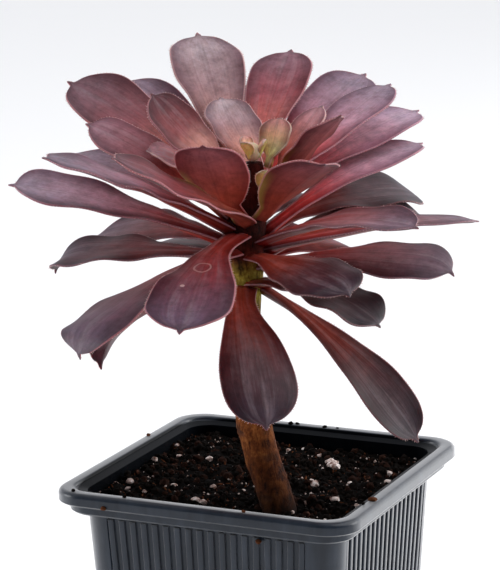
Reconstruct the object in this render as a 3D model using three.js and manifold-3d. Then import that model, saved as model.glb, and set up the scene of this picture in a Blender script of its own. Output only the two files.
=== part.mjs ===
// A dark-leaved aeonium in a square nursery pot: pot, soil, bare stem, heart and separate leaves.
// Millimetres, +Z up. The origin is the centre of the pot's underside; the pot's front wall faces -Y.
import * as THREE from 'three';
import { mergeVertices } from 'three/addons/utils/BufferGeometryUtils.js';
import Module from 'manifold-3d';

const wasm = await Module();
wasm.setup();

// Pot
const POT_HEIGHT = 88;
const RIM_SIDE = 90;
const RIM_CORNER_RADIUS = 9;
const RIM_BAND_HEIGHT = 3.8;
const STEP_HEIGHT = 3.2;
const STEP_INSET = 2.6;
const WALL_TOP_INSET = 6.3;
const BASE_SIDE = 67;
const BASE_CORNER_RADIUS = 6;
const WALL_THICKNESS = 2;
const RIM_TOP_WIDTH = 4.2;
const LEDGE_HEIGHT = 80.6;
const LEDGE_WIDTH = 1.8;
const FLOOR_THICKNESS = 2.5;
const RIBS_PER_SIDE = 18;
const RIB_DEPTH = 0.8;
const RIB_WIDTH_SHARE = 0.5;
const RIB_CREST_SHARE = 0.25;
const RIB_CREST_INSET = 0.1;
const POST_WIDTH = 8;
const PANEL_BOTTOM = 9;
const PANEL_TOP = 80.2;
const PANEL_OVERLAP = 0.02;
const COLLAR_SLOPE_HEIGHT = 0.6;
const RIM_EDGE_CHAMFER = 0.4;
const RIM_TOP_CHAMFER = 1;
const MOUTH_CORNER_RADIUS = 6.6;
const MOUTH_LIP_DEPTH = 1.5;
const LEDGE_SLOPE_HEIGHT = 0.4;
const DRAIN_HOLE_RADIUS = 4;
const DRAIN_HOLE_OFFSET = 19;
const HOLE_SIDES = 12;

// Soil
const SOIL_LEVEL = 82.4;
const SOIL_RELIEF = 1;
const SOIL_LEFT_SLOPE = 0.035;
const SOIL_RING_SHARES = [0.985, 0.93, 0.84, 0.74, 0.64, 0.53, 0.42, 0.31, 0.2, 0.1];
const SOIL_LUMPS = 26;
const SMALLEST_LUMP = 1.3;
const LUMP_SPREAD = 1.1;
const LUMP_FLATNESS = 0.7;
const LUMP_WALL_CLEARANCE = 5;
const SOIL_SEED = 7;

// Touching pieces keep this gap.
const SEAT_GAP = 0.3;

// Plant: directions are turned from the pot's by this angle, because the plant stands turned in it.
const PLANT_TURN = 24.5;
const STEM_FOOT_DEPTH = 24;
const STEM_SIDES = 14;
const STEM_RING_PITCH = 4.5;
const STEM_HOLE_OVERSHOOT = 12;

// Points of the stem's axis in the plant's own directions: [across, back, height].
const STEM_AXIS = [
  [7.5, -27, SOIL_LEVEL - STEM_FOOT_DEPTH],
  [4.6, -25.3, SOIL_LEVEL],
  [-1.1, -21.5, 102.2],
  [-3.7, -17.5, 123.2],
  [-4, -15, 139.6],
  [-3.1, -13, 156.1],
  [-0.8, -12, 178.2],
];

// Stem radius at heights: [height, radius].
const STEM_RADII = [
  [SOIL_LEVEL - STEM_FOOT_DEPTH, 4],
  [SOIL_LEVEL, 5],
  [102, 4.9],
  [136, 4.6],
  [152, 5.4],
  [164, 5.2],
  [172, 4.2],
  [178, 2.6],
];
const STEM_TOP = 177.5;

// Leaves stand on a spiral: each next place is one golden angle round and a little higher.
const GOLDEN_ANGLE = 137.5;
const FIRST_PLACE_TURN = 24;
const FIRST_PLACE_HEIGHT = 139.8;
const PLACE_PITCH = 0.55;

// Each leaf: place on the spiral, aim in plan, length, width, rise at the foot, bend over its length,
// curl of its last quarter, roll about its midrib and cup of its margins, in mm and degrees.
const LEAVES = [
  [3, 116, 56, 22, 0, -34, 0, 0, 10],
  [5, 346, 60, 15, -32, -26, 0, 40, 20],
  [6, 138, 68, 12, -10, -36, -60, 0, 24],
  [7, 284, 50, 20.5, -8, -62, 0, 0, -12],
  [10, 330, 40, 25, 10, -46, 0, 0, 10],
  [11, 100, 58, 22, 0, -36, 0, 0, 10],
  [16, 60, 50, 22, 8, -24, 0, 14, 10],
  [18, 344, 55, 22, 14, -22, -60, 14, -14],
  [19, 122, 54, 22, 4, -22, 0, 0, 10],
  [21, 36, 58, 20, 21, -34, -20, 18, 10],
  [22, 158, 54, 22, 3.6, -15, -80, -10, 10],
  [23, 312, 38, 20, 3, -16, -50, 14, -12],
  [24, 62, 60, 22, 26, -48, 0, 0, 10],
  [25, 226, 63, 27, -3.6, -20, -100, 12, -10],
  [26, 28, 66, 15, 12, -22, 0, 0, 10],
  [27, 137, 55, 22, 7, -26, 0, -18, 10],
  [29, 34, 62, 21, 20, -31, -40, 16, 10],
  [30, 183, 61, 22, 24.5, -16, 0, -14, 14],
  [31, 325, 50, 18, 24, -30, 0, 8, 20],
  [32, 95, 60, 22, 18, -20, 0, 0, 10],
  [33, 258, 56, 23, -6, -18, 0, 0, 8],
  [34, 30, 54, 20, 35, -28, 0, 2, 10],
  [35, 139, 60, 22, 24, -18, 0, 0, 10],
  [37, 58, 63, 21, 23, -12, 0, 0, 10],
  [38, 206, 59, 18, 31, -14, 0, -10, 10],
  [40, 130, 60, 21, 43.5, -20, 0, -6, 14],
  [41, 213, 55, 18, 23, 6, 0, -18, 14],
  [42, 38, 61.5, 20, 33, -24, 0, 6, 10],
  [43, 166, 46, 16.6, 42, -20, 0, -21, 12],
  [44, 305, 32, 19, 44, -22, 0, -10, 26],
  [45, 88, 58, 21, 36, -18, 0, 0, 14],
  [46, 254, 30, 19.8, 46, 0, 0, 0, 12],
  [48, 155.5, 60, 22, 38.8, -16, 0, -24, 14],
  [50, 50, 58, 19.6, 37, -17, 0, 14, 14],
  [52, 318, 35, 14, 53, -16, 0, 0, 14],
  [53, 103, 61.5, 21, 47, -18, 0, 0, 14],
  [55, 47, 54, 16, 31, -11, 0, 4, 14],
  [56, 194, 26, 15, 32, -14, 0, -14, 14],
  [57, 292, 6, 4.6, 72, -10, 0, 0, 24],
  [58, 73, 52, 18, 46, -20, 0, 0, 14],
  [59, 236, 5, 4.2, 50, -6, 0, 0, 24],
  [60, 42, 26, 10.5, 54, -16, 0, 0, 14],
  [64, 166, 32, 18, 30, 26, 0, -20, 16],
  [66, 124, 24, 16.5, 38, 12, 0, 0, 14],
  [68, 56, 13, 10, 70, -10, 0, 0, 20],
];
const LEAF_STATIONS = [0, 0.07, 0.18, 0.32, 0.46, 0.6, 0.72, 0.82, 0.9, 0.955, 0.98, 1];
const LEAF_COLUMNS = [-1, -0.55, 0, 0.55, 1];
const LEAF_WIDEST = 0.77;
const YOUNG_WIDEST = 0.67;
const LEAF_NECK = 0.13;
const LEAF_ROUND_END = 0.967;
const NECK_WIDTH_SHARE = 0.3;
const YOUNG_NECK_SHARE = 0.42;
const FOOT_FLARE_SHARE = 0.02;
const FOOT_THICKNESS = 2.4;
const YOUNG_FOOT_THICKNESS = 1.8;
const TIP_THICKNESS = 1.1;
const MARGIN_THICKNESS = 0.6;
const MUCRO_HALF_WIDTH = 0.4;
const MIDRIB_STEPS = 60;
const SWERVE_END = 0.45;
const ROLL_END = 0.35;
const CURL_START = 0.75;
const ROUND_END_POWER = 2.3;
const FOOT_CUP_SHARE = 0.4;
const FOOT_GAP = SEAT_GAP + 0.2;
const YOUNG_LENGTH = 31;
const FULL_LENGTH = 60;
const YOUNG_FULLNESS = 0.65;
const FULL_GROWN_FULLNESS = 2.3;

// The heart's youngest leaves, as above, but each starts with its turn round the bud.
const HEART_LEAVES = [
  [236, 236, 5, 4, 62, -14, 0, 0, 30],
  [128, 128, 5.5, 4.4, 66, -14, 0, 0, 30],
  [4, 4, 5, 4, 66, -14, 0, 0, 30],
];
const BUD_RADIUS = 2.2;
const BUD_STRETCH = 1.2;
const BUD_FOOT_SHARE = 0.55;
const BUD_FOOT_RISE = 0.8;

// Colours
const POT_GREY = '#43494e';
const SOIL_BROWN = '#33261f';
const STEM_BROWN = '#8a5a36';
const HEART_GREEN = '#b9b56a';
const LEAF_DARK = '#4b2a30';
const LEAF_ROSE = '#8c5a60';

const radians = THREE.MathUtils.degToRad;
const clamp01 = (value) => THREE.MathUtils.clamp(value, 0, 1);
const mix = THREE.MathUtils.lerp;
const smooth = (value) => THREE.MathUtils.smoothstep(value, 0, 1);

// A value read off a list of [key, value] pairs, straight between them.
function along(pairs, key) {
  const next = pairs.findIndex(([k]) => k >= key);
  if (next === -1) return pairs[pairs.length - 1][1];
  if (next === 0) return pairs[0][1];
  const [k0, v0] = pairs[next - 1];
  const [k1, v1] = pairs[next];
  return mix(v0, v1, (key - k0) / (k1 - k0));
}

// A small repeatable generator of numbers from 0 to 1.
function seeded(seed) {
  let state = seed;
  return () => {
    state = (state * 16807) % 2147483647;
    return state / 2147483647;
  };
}

// A closed skin over rings of equally many points, each end closed by a fan from its centre.
function skin(rings) {
  const count = rings[0].length;
  const points = rings.flat();
  const index = [];
  for (let r = 0; r + 1 < rings.length; r += 1) {
    for (let i = 0; i < count; i += 1) {
      const a = r * count + i;
      const b = r * count + ((i + 1) % count);
      index.push(a, b, b + count, a, b + count, a + count);
    }
  }
  const closeEnd = (ring, start, outward) => {
    const centre = ring.reduce((sum, p) => sum.add(p), new THREE.Vector3()).divideScalar(count);
    const hub = points.push(centre) - 1;
    for (let i = 0; i < count; i += 1) {
      const a = start + i;
      const b = start + ((i + 1) % count);
      index.push(...(outward ? [a, b, hub] : [b, a, hub]));
    }
  };
  closeEnd(rings[0], 0, false);
  closeEnd(rings[rings.length - 1], (rings.length - 1) * count, true);
  const geometry = new THREE.BufferGeometry().setFromPoints(points);
  geometry.setIndex(index);
  return geometry;
}

function toSolid(source) {
  const bare = source.clone();
  bare.deleteAttribute('normal');
  bare.deleteAttribute('uv');
  const merged = mergeVertices(bare, 1e-4);
  return new wasm.Manifold(new wasm.Mesh({
    numProp: 3,
    vertProperties: new Float32Array(merged.attributes.position.array),
    triVerts: new Uint32Array(merged.index.array),
  }));
}

function toGeometry(solid) {
  const mesh = solid.getMesh();
  const geometry = new THREE.BufferGeometry();
  geometry.setAttribute('position', new THREE.BufferAttribute(new Float32Array(mesh.vertProperties), 3));
  geometry.setIndex(Array.from(mesh.triVerts));
  return geometry;
}

const material = (color, roughness, metalness = 0) => (
  new THREE.MeshStandardMaterial({ color, roughness, metalness })
);

function piece(name, geometry, finish) {
  const mesh = new THREE.Mesh(geometry, finish);
  mesh.name = name;
  return mesh;
}

// Pot

// A square ring with rounded corners, counter-clockwise seen from above.
function squareRing(half, radius, height, cornerSteps = 5) {
  const ring = [];
  const reach = half - radius;
  for (let corner = 0; corner < 4; corner += 1) {
    const middle = Math.PI / 4 + (corner * Math.PI) / 2;
    const cx = Math.SQRT2 * reach * Math.cos(middle);
    const cy = Math.SQRT2 * reach * Math.sin(middle);
    for (let step = 0; step <= cornerSteps; step += 1) {
      const angle = (corner + step / cornerSteps) * (Math.PI / 2);
      ring.push(new THREE.Vector3(cx + radius * Math.cos(angle), cy + radius * Math.sin(angle), height));
    }
  }
  return ring;
}

const WALL_TOP = POT_HEIGHT - RIM_BAND_HEIGHT - STEP_HEIGHT;
const wallShare = (height) => height / WALL_TOP;
const wallHalf = (height) => mix(BASE_SIDE / 2, RIM_SIDE / 2 - WALL_TOP_INSET, wallShare(height));
const wallRadius = (height) => mix(BASE_CORNER_RADIUS, RIM_CORNER_RADIUS - 1, wallShare(height));

// The wall's outline through the ribbed panels: on each side a row of ribs between two smooth posts.
function ribbedRing(height) {
  const half = wallHalf(height);
  const panel = half - POST_WIDTH * (half / wallHalf(WALL_TOP));
  const pitch = (2 * panel) / RIBS_PER_SIDE;
  const radius = wallRadius(height);
  const ring = [];
  for (let side = 0; side < 4; side += 1) {
    const turn = (side * Math.PI) / 2;
    const place = (out, across) => ring.push(new THREE.Vector3(
      out * Math.cos(turn) - across * Math.sin(turn),
      out * Math.sin(turn) + across * Math.cos(turn),
      height,
    ));
    place(half, -panel);
    for (let rib = 0; rib < RIBS_PER_SIDE; rib += 1) {
      const middle = -panel + (rib + 0.5) * pitch;
      const ribHalf = (pitch * RIB_WIDTH_SHARE) / 2;
      const crestHalf = (pitch * RIB_CREST_SHARE) / 2;
      place(half - RIB_DEPTH, middle - ribHalf);
      place(half - RIB_CREST_INSET, middle - crestHalf);
      place(half - RIB_CREST_INSET, middle + crestHalf);
      place(half - RIB_DEPTH, middle + ribHalf);
    }
    place(half, panel);
    const steps = 4;
    for (let step = 0; step <= steps; step += 1) {
      const angle = (step / steps) * (Math.PI / 2);
      place(half - radius + radius * Math.cos(angle), half - radius + radius * Math.sin(angle));
    }
  }
  return ring;
}

function potGeometry() {
  const rimHalf = RIM_SIDE / 2;
  const stepRadius = RIM_CORNER_RADIUS - 1;
  const bandBottom = WALL_TOP + STEP_HEIGHT;
  const wallAt = (height) => squareRing(wallHalf(height), wallRadius(height), height);
  const foot = toSolid(skin([wallAt(0), wallAt(PANEL_BOTTOM)]));
  const panels = toSolid(skin([
    ribbedRing(PANEL_BOTTOM - PANEL_OVERLAP),
    ribbedRing(PANEL_TOP + PANEL_OVERLAP),
  ]));
  const collar = toSolid(skin([
    wallAt(PANEL_TOP),
    wallAt(WALL_TOP),
    squareRing(rimHalf - STEP_INSET, stepRadius, WALL_TOP + COLLAR_SLOPE_HEIGHT),
    squareRing(rimHalf - STEP_INSET, stepRadius, bandBottom),
    squareRing(rimHalf - RIM_EDGE_CHAMFER, RIM_CORNER_RADIUS, bandBottom + 0.01),
    squareRing(rimHalf, RIM_CORNER_RADIUS, bandBottom + RIM_EDGE_CHAMFER),
    squareRing(rimHalf, RIM_CORNER_RADIUS, POT_HEIGHT - RIM_TOP_CHAMFER),
    squareRing(rimHalf - RIM_TOP_CHAMFER, stepRadius, POT_HEIGHT),
  ]));
  const cavity = toSolid(skin(mouthRings()));
  let pot = foot.add(panels).add(collar).subtract(cavity);
  for (const x of [-DRAIN_HOLE_OFFSET, DRAIN_HOLE_OFFSET]) {
    for (const y of [-DRAIN_HOLE_OFFSET, DRAIN_HOLE_OFFSET]) {
      const depth = 4 * FLOOR_THICKNESS;
      const hole = new THREE.CylinderGeometry(DRAIN_HOLE_RADIUS, DRAIN_HOLE_RADIUS, depth, HOLE_SIDES);
      hole.rotateX(Math.PI / 2);
      hole.translate(x, y, 0);
      pot = pot.subtract(toSolid(hole));
    }
  }
  return toGeometry(pot);
}

// Rings of the space inside the pot, drawn in by a gap: floor, wall, ledge and upper wall.
function cavityRings(gap, top) {
  const radius = wallRadius(LEDGE_HEIGHT) - WALL_THICKNESS;
  const lower = (height) => wallHalf(height) - WALL_THICKNESS - gap;
  const upper = wallHalf(LEDGE_HEIGHT) - WALL_THICKNESS + LEDGE_WIDTH - gap;
  return [
    squareRing(lower(FLOOR_THICKNESS), BASE_CORNER_RADIUS - WALL_THICKNESS, FLOOR_THICKNESS + gap),
    squareRing(lower(LEDGE_HEIGHT), radius, LEDGE_HEIGHT + gap),
    squareRing(upper, radius + 1, LEDGE_HEIGHT + LEDGE_SLOPE_HEIGHT + gap),
    squareRing(upper, radius + 1, top),
  ];
}

// The mouth runs from the upper wall to the inner edge of the rim.
function mouthRings() {
  const edge = RIM_SIDE / 2 - RIM_TOP_WIDTH;
  const rings = cavityRings(0, POT_HEIGHT - MOUTH_LIP_DEPTH);
  rings.push(squareRing(edge, MOUTH_CORNER_RADIUS, POT_HEIGHT));
  rings.push(squareRing(edge, MOUTH_CORNER_RADIUS, POT_HEIGHT + 1));
  return rings;
}

// Soil

function soilHeight(x, y) {
  const coarse = Math.sin(0.21 * x + 1.3) * Math.cos(0.17 * y - 0.6);
  const fine = Math.sin(0.83 * x - 0.71 * y) * Math.cos(0.64 * x + 0.9 * y + 2);
  return SOIL_LEVEL + SOIL_LEFT_SLOPE * Math.max(0, -x) + SOIL_RELIEF * (0.55 * coarse + 0.45 * fine);
}

function soilGeometry() {
  const rings = cavityRings(SEAT_GAP, SOIL_LEVEL - 1.2 * SOIL_RELIEF);
  const wallRing = rings[rings.length - 1];
  for (const share of SOIL_RING_SHARES) {
    rings.push(wallRing.map((p) => {
      const x = p.x * share;
      const y = p.y * share;
      return new THREE.Vector3(x, y, soilHeight(x, y));
    }));
  }
  const random = seeded(SOIL_SEED);
  const lumps = [];
  const reach = wallHalf(SOIL_LEVEL) - WALL_THICKNESS - LUMP_WALL_CLEARANCE;
  for (let i = 0; i < SOIL_LUMPS; i += 1) {
    const x = (2 * random() - 1) * reach;
    const y = (2 * random() - 1) * reach;
    const lump = new THREE.IcosahedronGeometry(SMALLEST_LUMP + LUMP_SPREAD * random(), 0);
    lump.scale(1, 0.8 + 0.3 * random(), LUMP_FLATNESS);
    lump.rotateZ(6 * random());
    lump.translate(x, y, soilHeight(x, y) + 0.1);
    lumps.push(toSolid(lump));
  }
  const hole = toSolid(stemGeometry(SEAT_GAP, SOIL_LEVEL + STEM_HOLE_OVERSHOOT));
  const soil = wasm.Manifold.union([toSolid(skin(rings)), ...lumps]).subtract(hole);
  return toGeometry(soil);
}

// Stem

const turned = ([across, back, height]) => (
  new THREE.Vector3(across, back, height).applyAxisAngle(new THREE.Vector3(0, 0, 1), radians(PLANT_TURN))
);
const stemCurve = new THREE.CatmullRomCurve3(STEM_AXIS.map(turned), false, 'centripetal');

// The point of the stem's axis at a height, found by halving.
function stemAxisAt(height) {
  let low = 0;
  let high = 1;
  for (let i = 0; i < 30; i += 1) {
    const middle = (low + high) / 2;
    if (stemCurve.getPoint(middle).z < height) low = middle;
    else high = middle;
  }
  return stemCurve.getPoint(low);
}

function stemGeometry(grow = 0, top = STEM_TOP) {
  const bottom = SOIL_LEVEL - STEM_FOOT_DEPTH - grow;
  const steps = Math.round((top - bottom) / STEM_RING_PITCH);
  const rings = [];
  for (let step = 0; step <= steps; step += 1) {
    const height = mix(bottom, top, step / steps);
    const centre = stemAxisAt(Math.max(height, SOIL_LEVEL - STEM_FOOT_DEPTH));
    const radius = along(STEM_RADII, height) + grow;
    const ring = [];
    for (let i = 0; i < STEM_SIDES; i += 1) {
      const angle = (i / STEM_SIDES) * 2 * Math.PI;
      ring.push(new THREE.Vector3(
        centre.x + radius * Math.cos(angle),
        centre.y + radius * Math.sin(angle),
        height,
      ));
    }
    rings.push(ring);
  }
  return skin(rings);
}

// Leaves

// How far a leaf has grown up, from its length: 0 for young ones, 1 for the longest.
function leafAge(length) {
  return clamp01((length - YOUNG_LENGTH) / (FULL_LENGTH - YOUNG_LENGTH));
}

// A leaf's half width at a share of its length: foot, neck, widest place, round end and mucro.
function leafHalfWidth(t, length, width) {
  const half = width / 2;
  const age = leafAge(length);
  const neck = mix(YOUNG_NECK_SHARE, NECK_WIDTH_SHARE, age);
  const widest = mix(YOUNG_WIDEST, LEAF_WIDEST, age);
  if (t >= 1) return MUCRO_HALF_WIDTH;
  if (t < LEAF_NECK) return half * mix(neck + FOOT_FLARE_SHARE, neck, t / LEAF_NECK);
  if (t < widest) {
    const fullness = mix(YOUNG_FULLNESS, FULL_GROWN_FULLNESS, age);
    const share = Math.sin((Math.PI / 2) * ((t - LEAF_NECK) / (widest - LEAF_NECK))) ** fullness;
    return half * mix(neck, 1, share);
  }
  const q = (t - widest) / (LEAF_ROUND_END - widest);
  return Math.max(half * Math.sqrt(Math.max(0, 1 - q ** ROUND_END_POWER)), 2 * MUCRO_HALF_WIDTH);
}

// The midrib, followed outwards in small steps from the foot: its points, directions and right sides.
function followMidrib(foot, footTurn, [, aim, length, , rise, bend, curl]) {
  const swerve = ((((aim - footTurn) % 360) + 540) % 360) - 180;
  const point = foot.clone();
  const midrib = [];
  for (let step = 0; step <= MIDRIB_STEPS; step += 1) {
    const t = step / MIDRIB_STEPS;
    const turn = radians(footTurn + PLANT_TURN + swerve * smooth(t / SWERVE_END));
    const tipShare = clamp01((t - CURL_START) / (1 - CURL_START));
    const climb = radians(rise + bend * t + curl * tipShare * tipShare);
    const ahead = new THREE.Vector3(
      Math.cos(turn) * Math.cos(climb),
      Math.sin(turn) * Math.cos(climb),
      Math.sin(climb),
    );
    const side = new THREE.Vector3(Math.sin(turn), -Math.cos(turn), 0);
    midrib.push({ point: point.clone(), ahead, side });
    point.addScaledVector(ahead, length / MIDRIB_STEPS);
  }
  return midrib;
}

// A lens section at each station: margins a little thick, cupped about the midrib.
function leafBlade(midrib, [, , length, width, , , , roll, cup]) {
  const footThickness = mix(YOUNG_FOOT_THICKNESS, FOOT_THICKNESS, leafAge(length));
  const rings = LEAF_STATIONS.map((t) => {
    const { point, ahead, side } = midrib[Math.round(t * MIDRIB_STEPS)];
    const rolled = side.clone().applyAxisAngle(ahead, radians(roll) * smooth(t / ROLL_END));
    const up = new THREE.Vector3().crossVectors(rolled, ahead);
    const half = leafHalfWidth(t, length, width);
    const thick = mix(footThickness, TIP_THICKNESS, t);
    const arc = radians(cup) * mix(FOOT_CUP_SHARE, 1, smooth(t / ROLL_END));
    const face = (columns, facing) => columns.map((u) => {
      const angle = arc * u;
      const depth = (facing * mix(MARGIN_THICKNESS, thick, 1 - u * u)) / 2;
      return point.clone()
        .addScaledVector(rolled, (half * Math.sin(angle)) / arc - depth * Math.sin(angle))
        .addScaledVector(up, (half * (1 - Math.cos(angle))) / arc + depth * Math.cos(angle));
    });
    return [...face(LEAF_COLUMNS, 1), ...face([...LEAF_COLUMNS].reverse(), -1)];
  });
  return skin(rings);
}

// A leaf's foot stands at its place on the spiral, just clear of the stem.
function leafGeometry(row) {
  const [place, , , , rise] = row;
  const footTurn = FIRST_PLACE_TURN + GOLDEN_ANGLE * place;
  const height = FIRST_PLACE_HEIGHT + PLACE_PITCH * place;
  const lean = (Math.abs(Math.sin(radians(rise))) * FOOT_THICKNESS) / 2;
  const reach = along(STEM_RADII, height) + FOOT_GAP + lean;
  const outwards = radians(footTurn + PLANT_TURN);
  const foot = stemAxisAt(height);
  foot.add(new THREE.Vector3(reach * Math.cos(outwards), reach * Math.sin(outwards), 0));
  foot.z = height;
  return leafBlade(followMidrib(foot, footTurn, row), row);
}

// Heart

// The bud at the stem's tip, with the youngest leaves fused round it.
function heartGeometry() {
  const centre = stemAxisAt(STEM_TOP);
  centre.z = STEM_TOP + SEAT_GAP;
  const bud = new THREE.SphereGeometry(BUD_RADIUS, 10, 8);
  bud.rotateX(Math.PI / 2);
  bud.scale(1, 1, BUD_STRETCH);
  bud.translate(centre.x, centre.y, centre.z + BUD_RADIUS * BUD_STRETCH);
  const young = HEART_LEAVES.map((row) => {
    const [footTurn] = row;
    const outwards = radians(footTurn + PLANT_TURN);
    const reach = new THREE.Vector3(Math.cos(outwards), Math.sin(outwards), 0);
    const foot = centre.clone().addScaledVector(reach, BUD_RADIUS * BUD_FOOT_SHARE);
    foot.z += BUD_RADIUS * BUD_FOOT_RISE;
    return toSolid(leafBlade(followMidrib(foot, footTurn, row), row));
  });
  return toGeometry(wasm.Manifold.union([toSolid(bud), ...young]));
}

const plant = new THREE.Group();
plant.add(piece('pot', potGeometry(), material(POT_GREY, 0.55)));
plant.add(piece('soil', soilGeometry(), material(SOIL_BROWN, 0.95)));
plant.add(piece('stem', stemGeometry(), material(STEM_BROWN, 0.8)));
plant.add(piece('heart', heartGeometry(), material(HEART_GREEN, 0.5)));
LEAVES.forEach((row, i) => {
  const share = row[0] / LEAVES[LEAVES.length - 1][0];
  const colour = new THREE.Color(LEAF_DARK).lerp(new THREE.Color(LEAF_ROSE), share);
  const number = String(i + 1).padStart(2, '0');
  plant.add(piece(`leaf_${number}`, leafGeometry(row), material(colour, 0.45)));
});

export default plant;
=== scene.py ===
"""A dark-leaved aeonium in a square nursery pot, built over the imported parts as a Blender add-on."""
import math
import random

import bmesh
import bpy
from mathutils import Matrix, Quaternion, Vector, noise


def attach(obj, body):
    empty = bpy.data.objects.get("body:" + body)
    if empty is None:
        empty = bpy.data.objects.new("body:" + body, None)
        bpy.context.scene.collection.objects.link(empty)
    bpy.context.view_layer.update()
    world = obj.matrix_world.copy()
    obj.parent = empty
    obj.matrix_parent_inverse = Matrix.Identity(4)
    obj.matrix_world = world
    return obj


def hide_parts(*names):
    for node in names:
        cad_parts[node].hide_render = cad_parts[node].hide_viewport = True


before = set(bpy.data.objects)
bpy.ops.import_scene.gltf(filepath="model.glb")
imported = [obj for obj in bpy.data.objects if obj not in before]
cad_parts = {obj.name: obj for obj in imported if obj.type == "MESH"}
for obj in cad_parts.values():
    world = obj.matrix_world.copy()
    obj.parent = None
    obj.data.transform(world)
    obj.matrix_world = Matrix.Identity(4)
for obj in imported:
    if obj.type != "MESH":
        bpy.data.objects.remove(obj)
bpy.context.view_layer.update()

bl_info = {
    "name": "Potted aeonium",
    "version": (1, 0, 0),
    "blender": (4, 5, 0),
    "location": "View3D > Sidebar > Aeonium",
    "description": "Builds a potted aeonium: pot, soil, stem, leaves and their finishes",
    "category": "Add Mesh",
}

MM = 0.001

# Pot, in millimetres, as in the part's source
POT_HEIGHT = 88
RIM_SIDE = 90
RIM_CORNER_RADIUS = 9
RIM_BAND_HEIGHT = 3.8
STEP_HEIGHT = 3.2
STEP_INSET = 2.6
WALL_TOP_INSET = 6.3
BASE_SIDE = 67
BASE_CORNER_RADIUS = 6
WALL_THICKNESS = 2
RIM_TOP_WIDTH = 4.2
LEDGE_HEIGHT = 80.6
LEDGE_WIDTH = 1.8
FLOOR_THICKNESS = 2.5
PANEL_BOTTOM = 9
PANEL_TOP = 80.2
POST_WIDTH = 8
DRAIN_HOLE_RADIUS = 4
DRAIN_HOLE_OFFSET = 19
WALL_TOP = POT_HEIGHT - RIM_BAND_HEIGHT - STEP_HEIGHT
# The foot's rounded edge: heights, and how far out from the wall.
FOOT_EDGE = ((0, -0.9), (0.25, -0.3), (0.9, 0))
PANEL_LIP = 0.3
PANEL_SLOPE = 0.35
RIB_BOTTOM = PANEL_BOTTOM + 1
RIB_TOP = PANEL_TOP - 0.6
RIM_ROUNDING = 1.4
MOUTH_ROUNDING = 0.9
MOUTH_CORNER_INSET = 2.2
# Edges that turn by more degrees than this stay crisp.
CRISP_EDGE = 32
# The power whose rounded square is like the pot's mouth.
SQUARENESS = 10
SOIL_LEVEL = 82.4
SOIL_LEFT_SLOPE = 0.035
SEAT_GAP = 0.3
SOIL_SIDES = 128
SOIL_RINGS = 46

# Plant
PLANT_TURN = 24.5
STEM_FOOT = SOIL_LEVEL - 24
STEM_AXIS = [
    (7.5, -27, STEM_FOOT),
    (4.6, -25.3, SOIL_LEVEL),
    (-1.1, -21.5, 102.2),
    (-3.7, -17.5, 123.2),
    (-4, -15, 139.6),
    (-3.1, -13, 156.1),
    (-0.8, -12, 178.2),
]
STEM_RADII = [(STEM_FOOT, 4), (SOIL_LEVEL, 5), (102, 4.9), (136, 4.6), (152, 5.4), (164, 5.2), (172, 4.2),
              (178, 2.6)]
STEM_TOP = 177.5
STEM_SIDES = 44
STEM_RING_PITCH = 0.9
STEM_CURVE_STEPS = 60
SCAR_BREADTH = 2.9
SCAR_HEIGHT = 1.25
GOLDEN_ANGLE = 137.5
FIRST_PLACE_TURN = 24
FIRST_PLACE_HEIGHT = 139.8
PLACE_PITCH = 0.55

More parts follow.
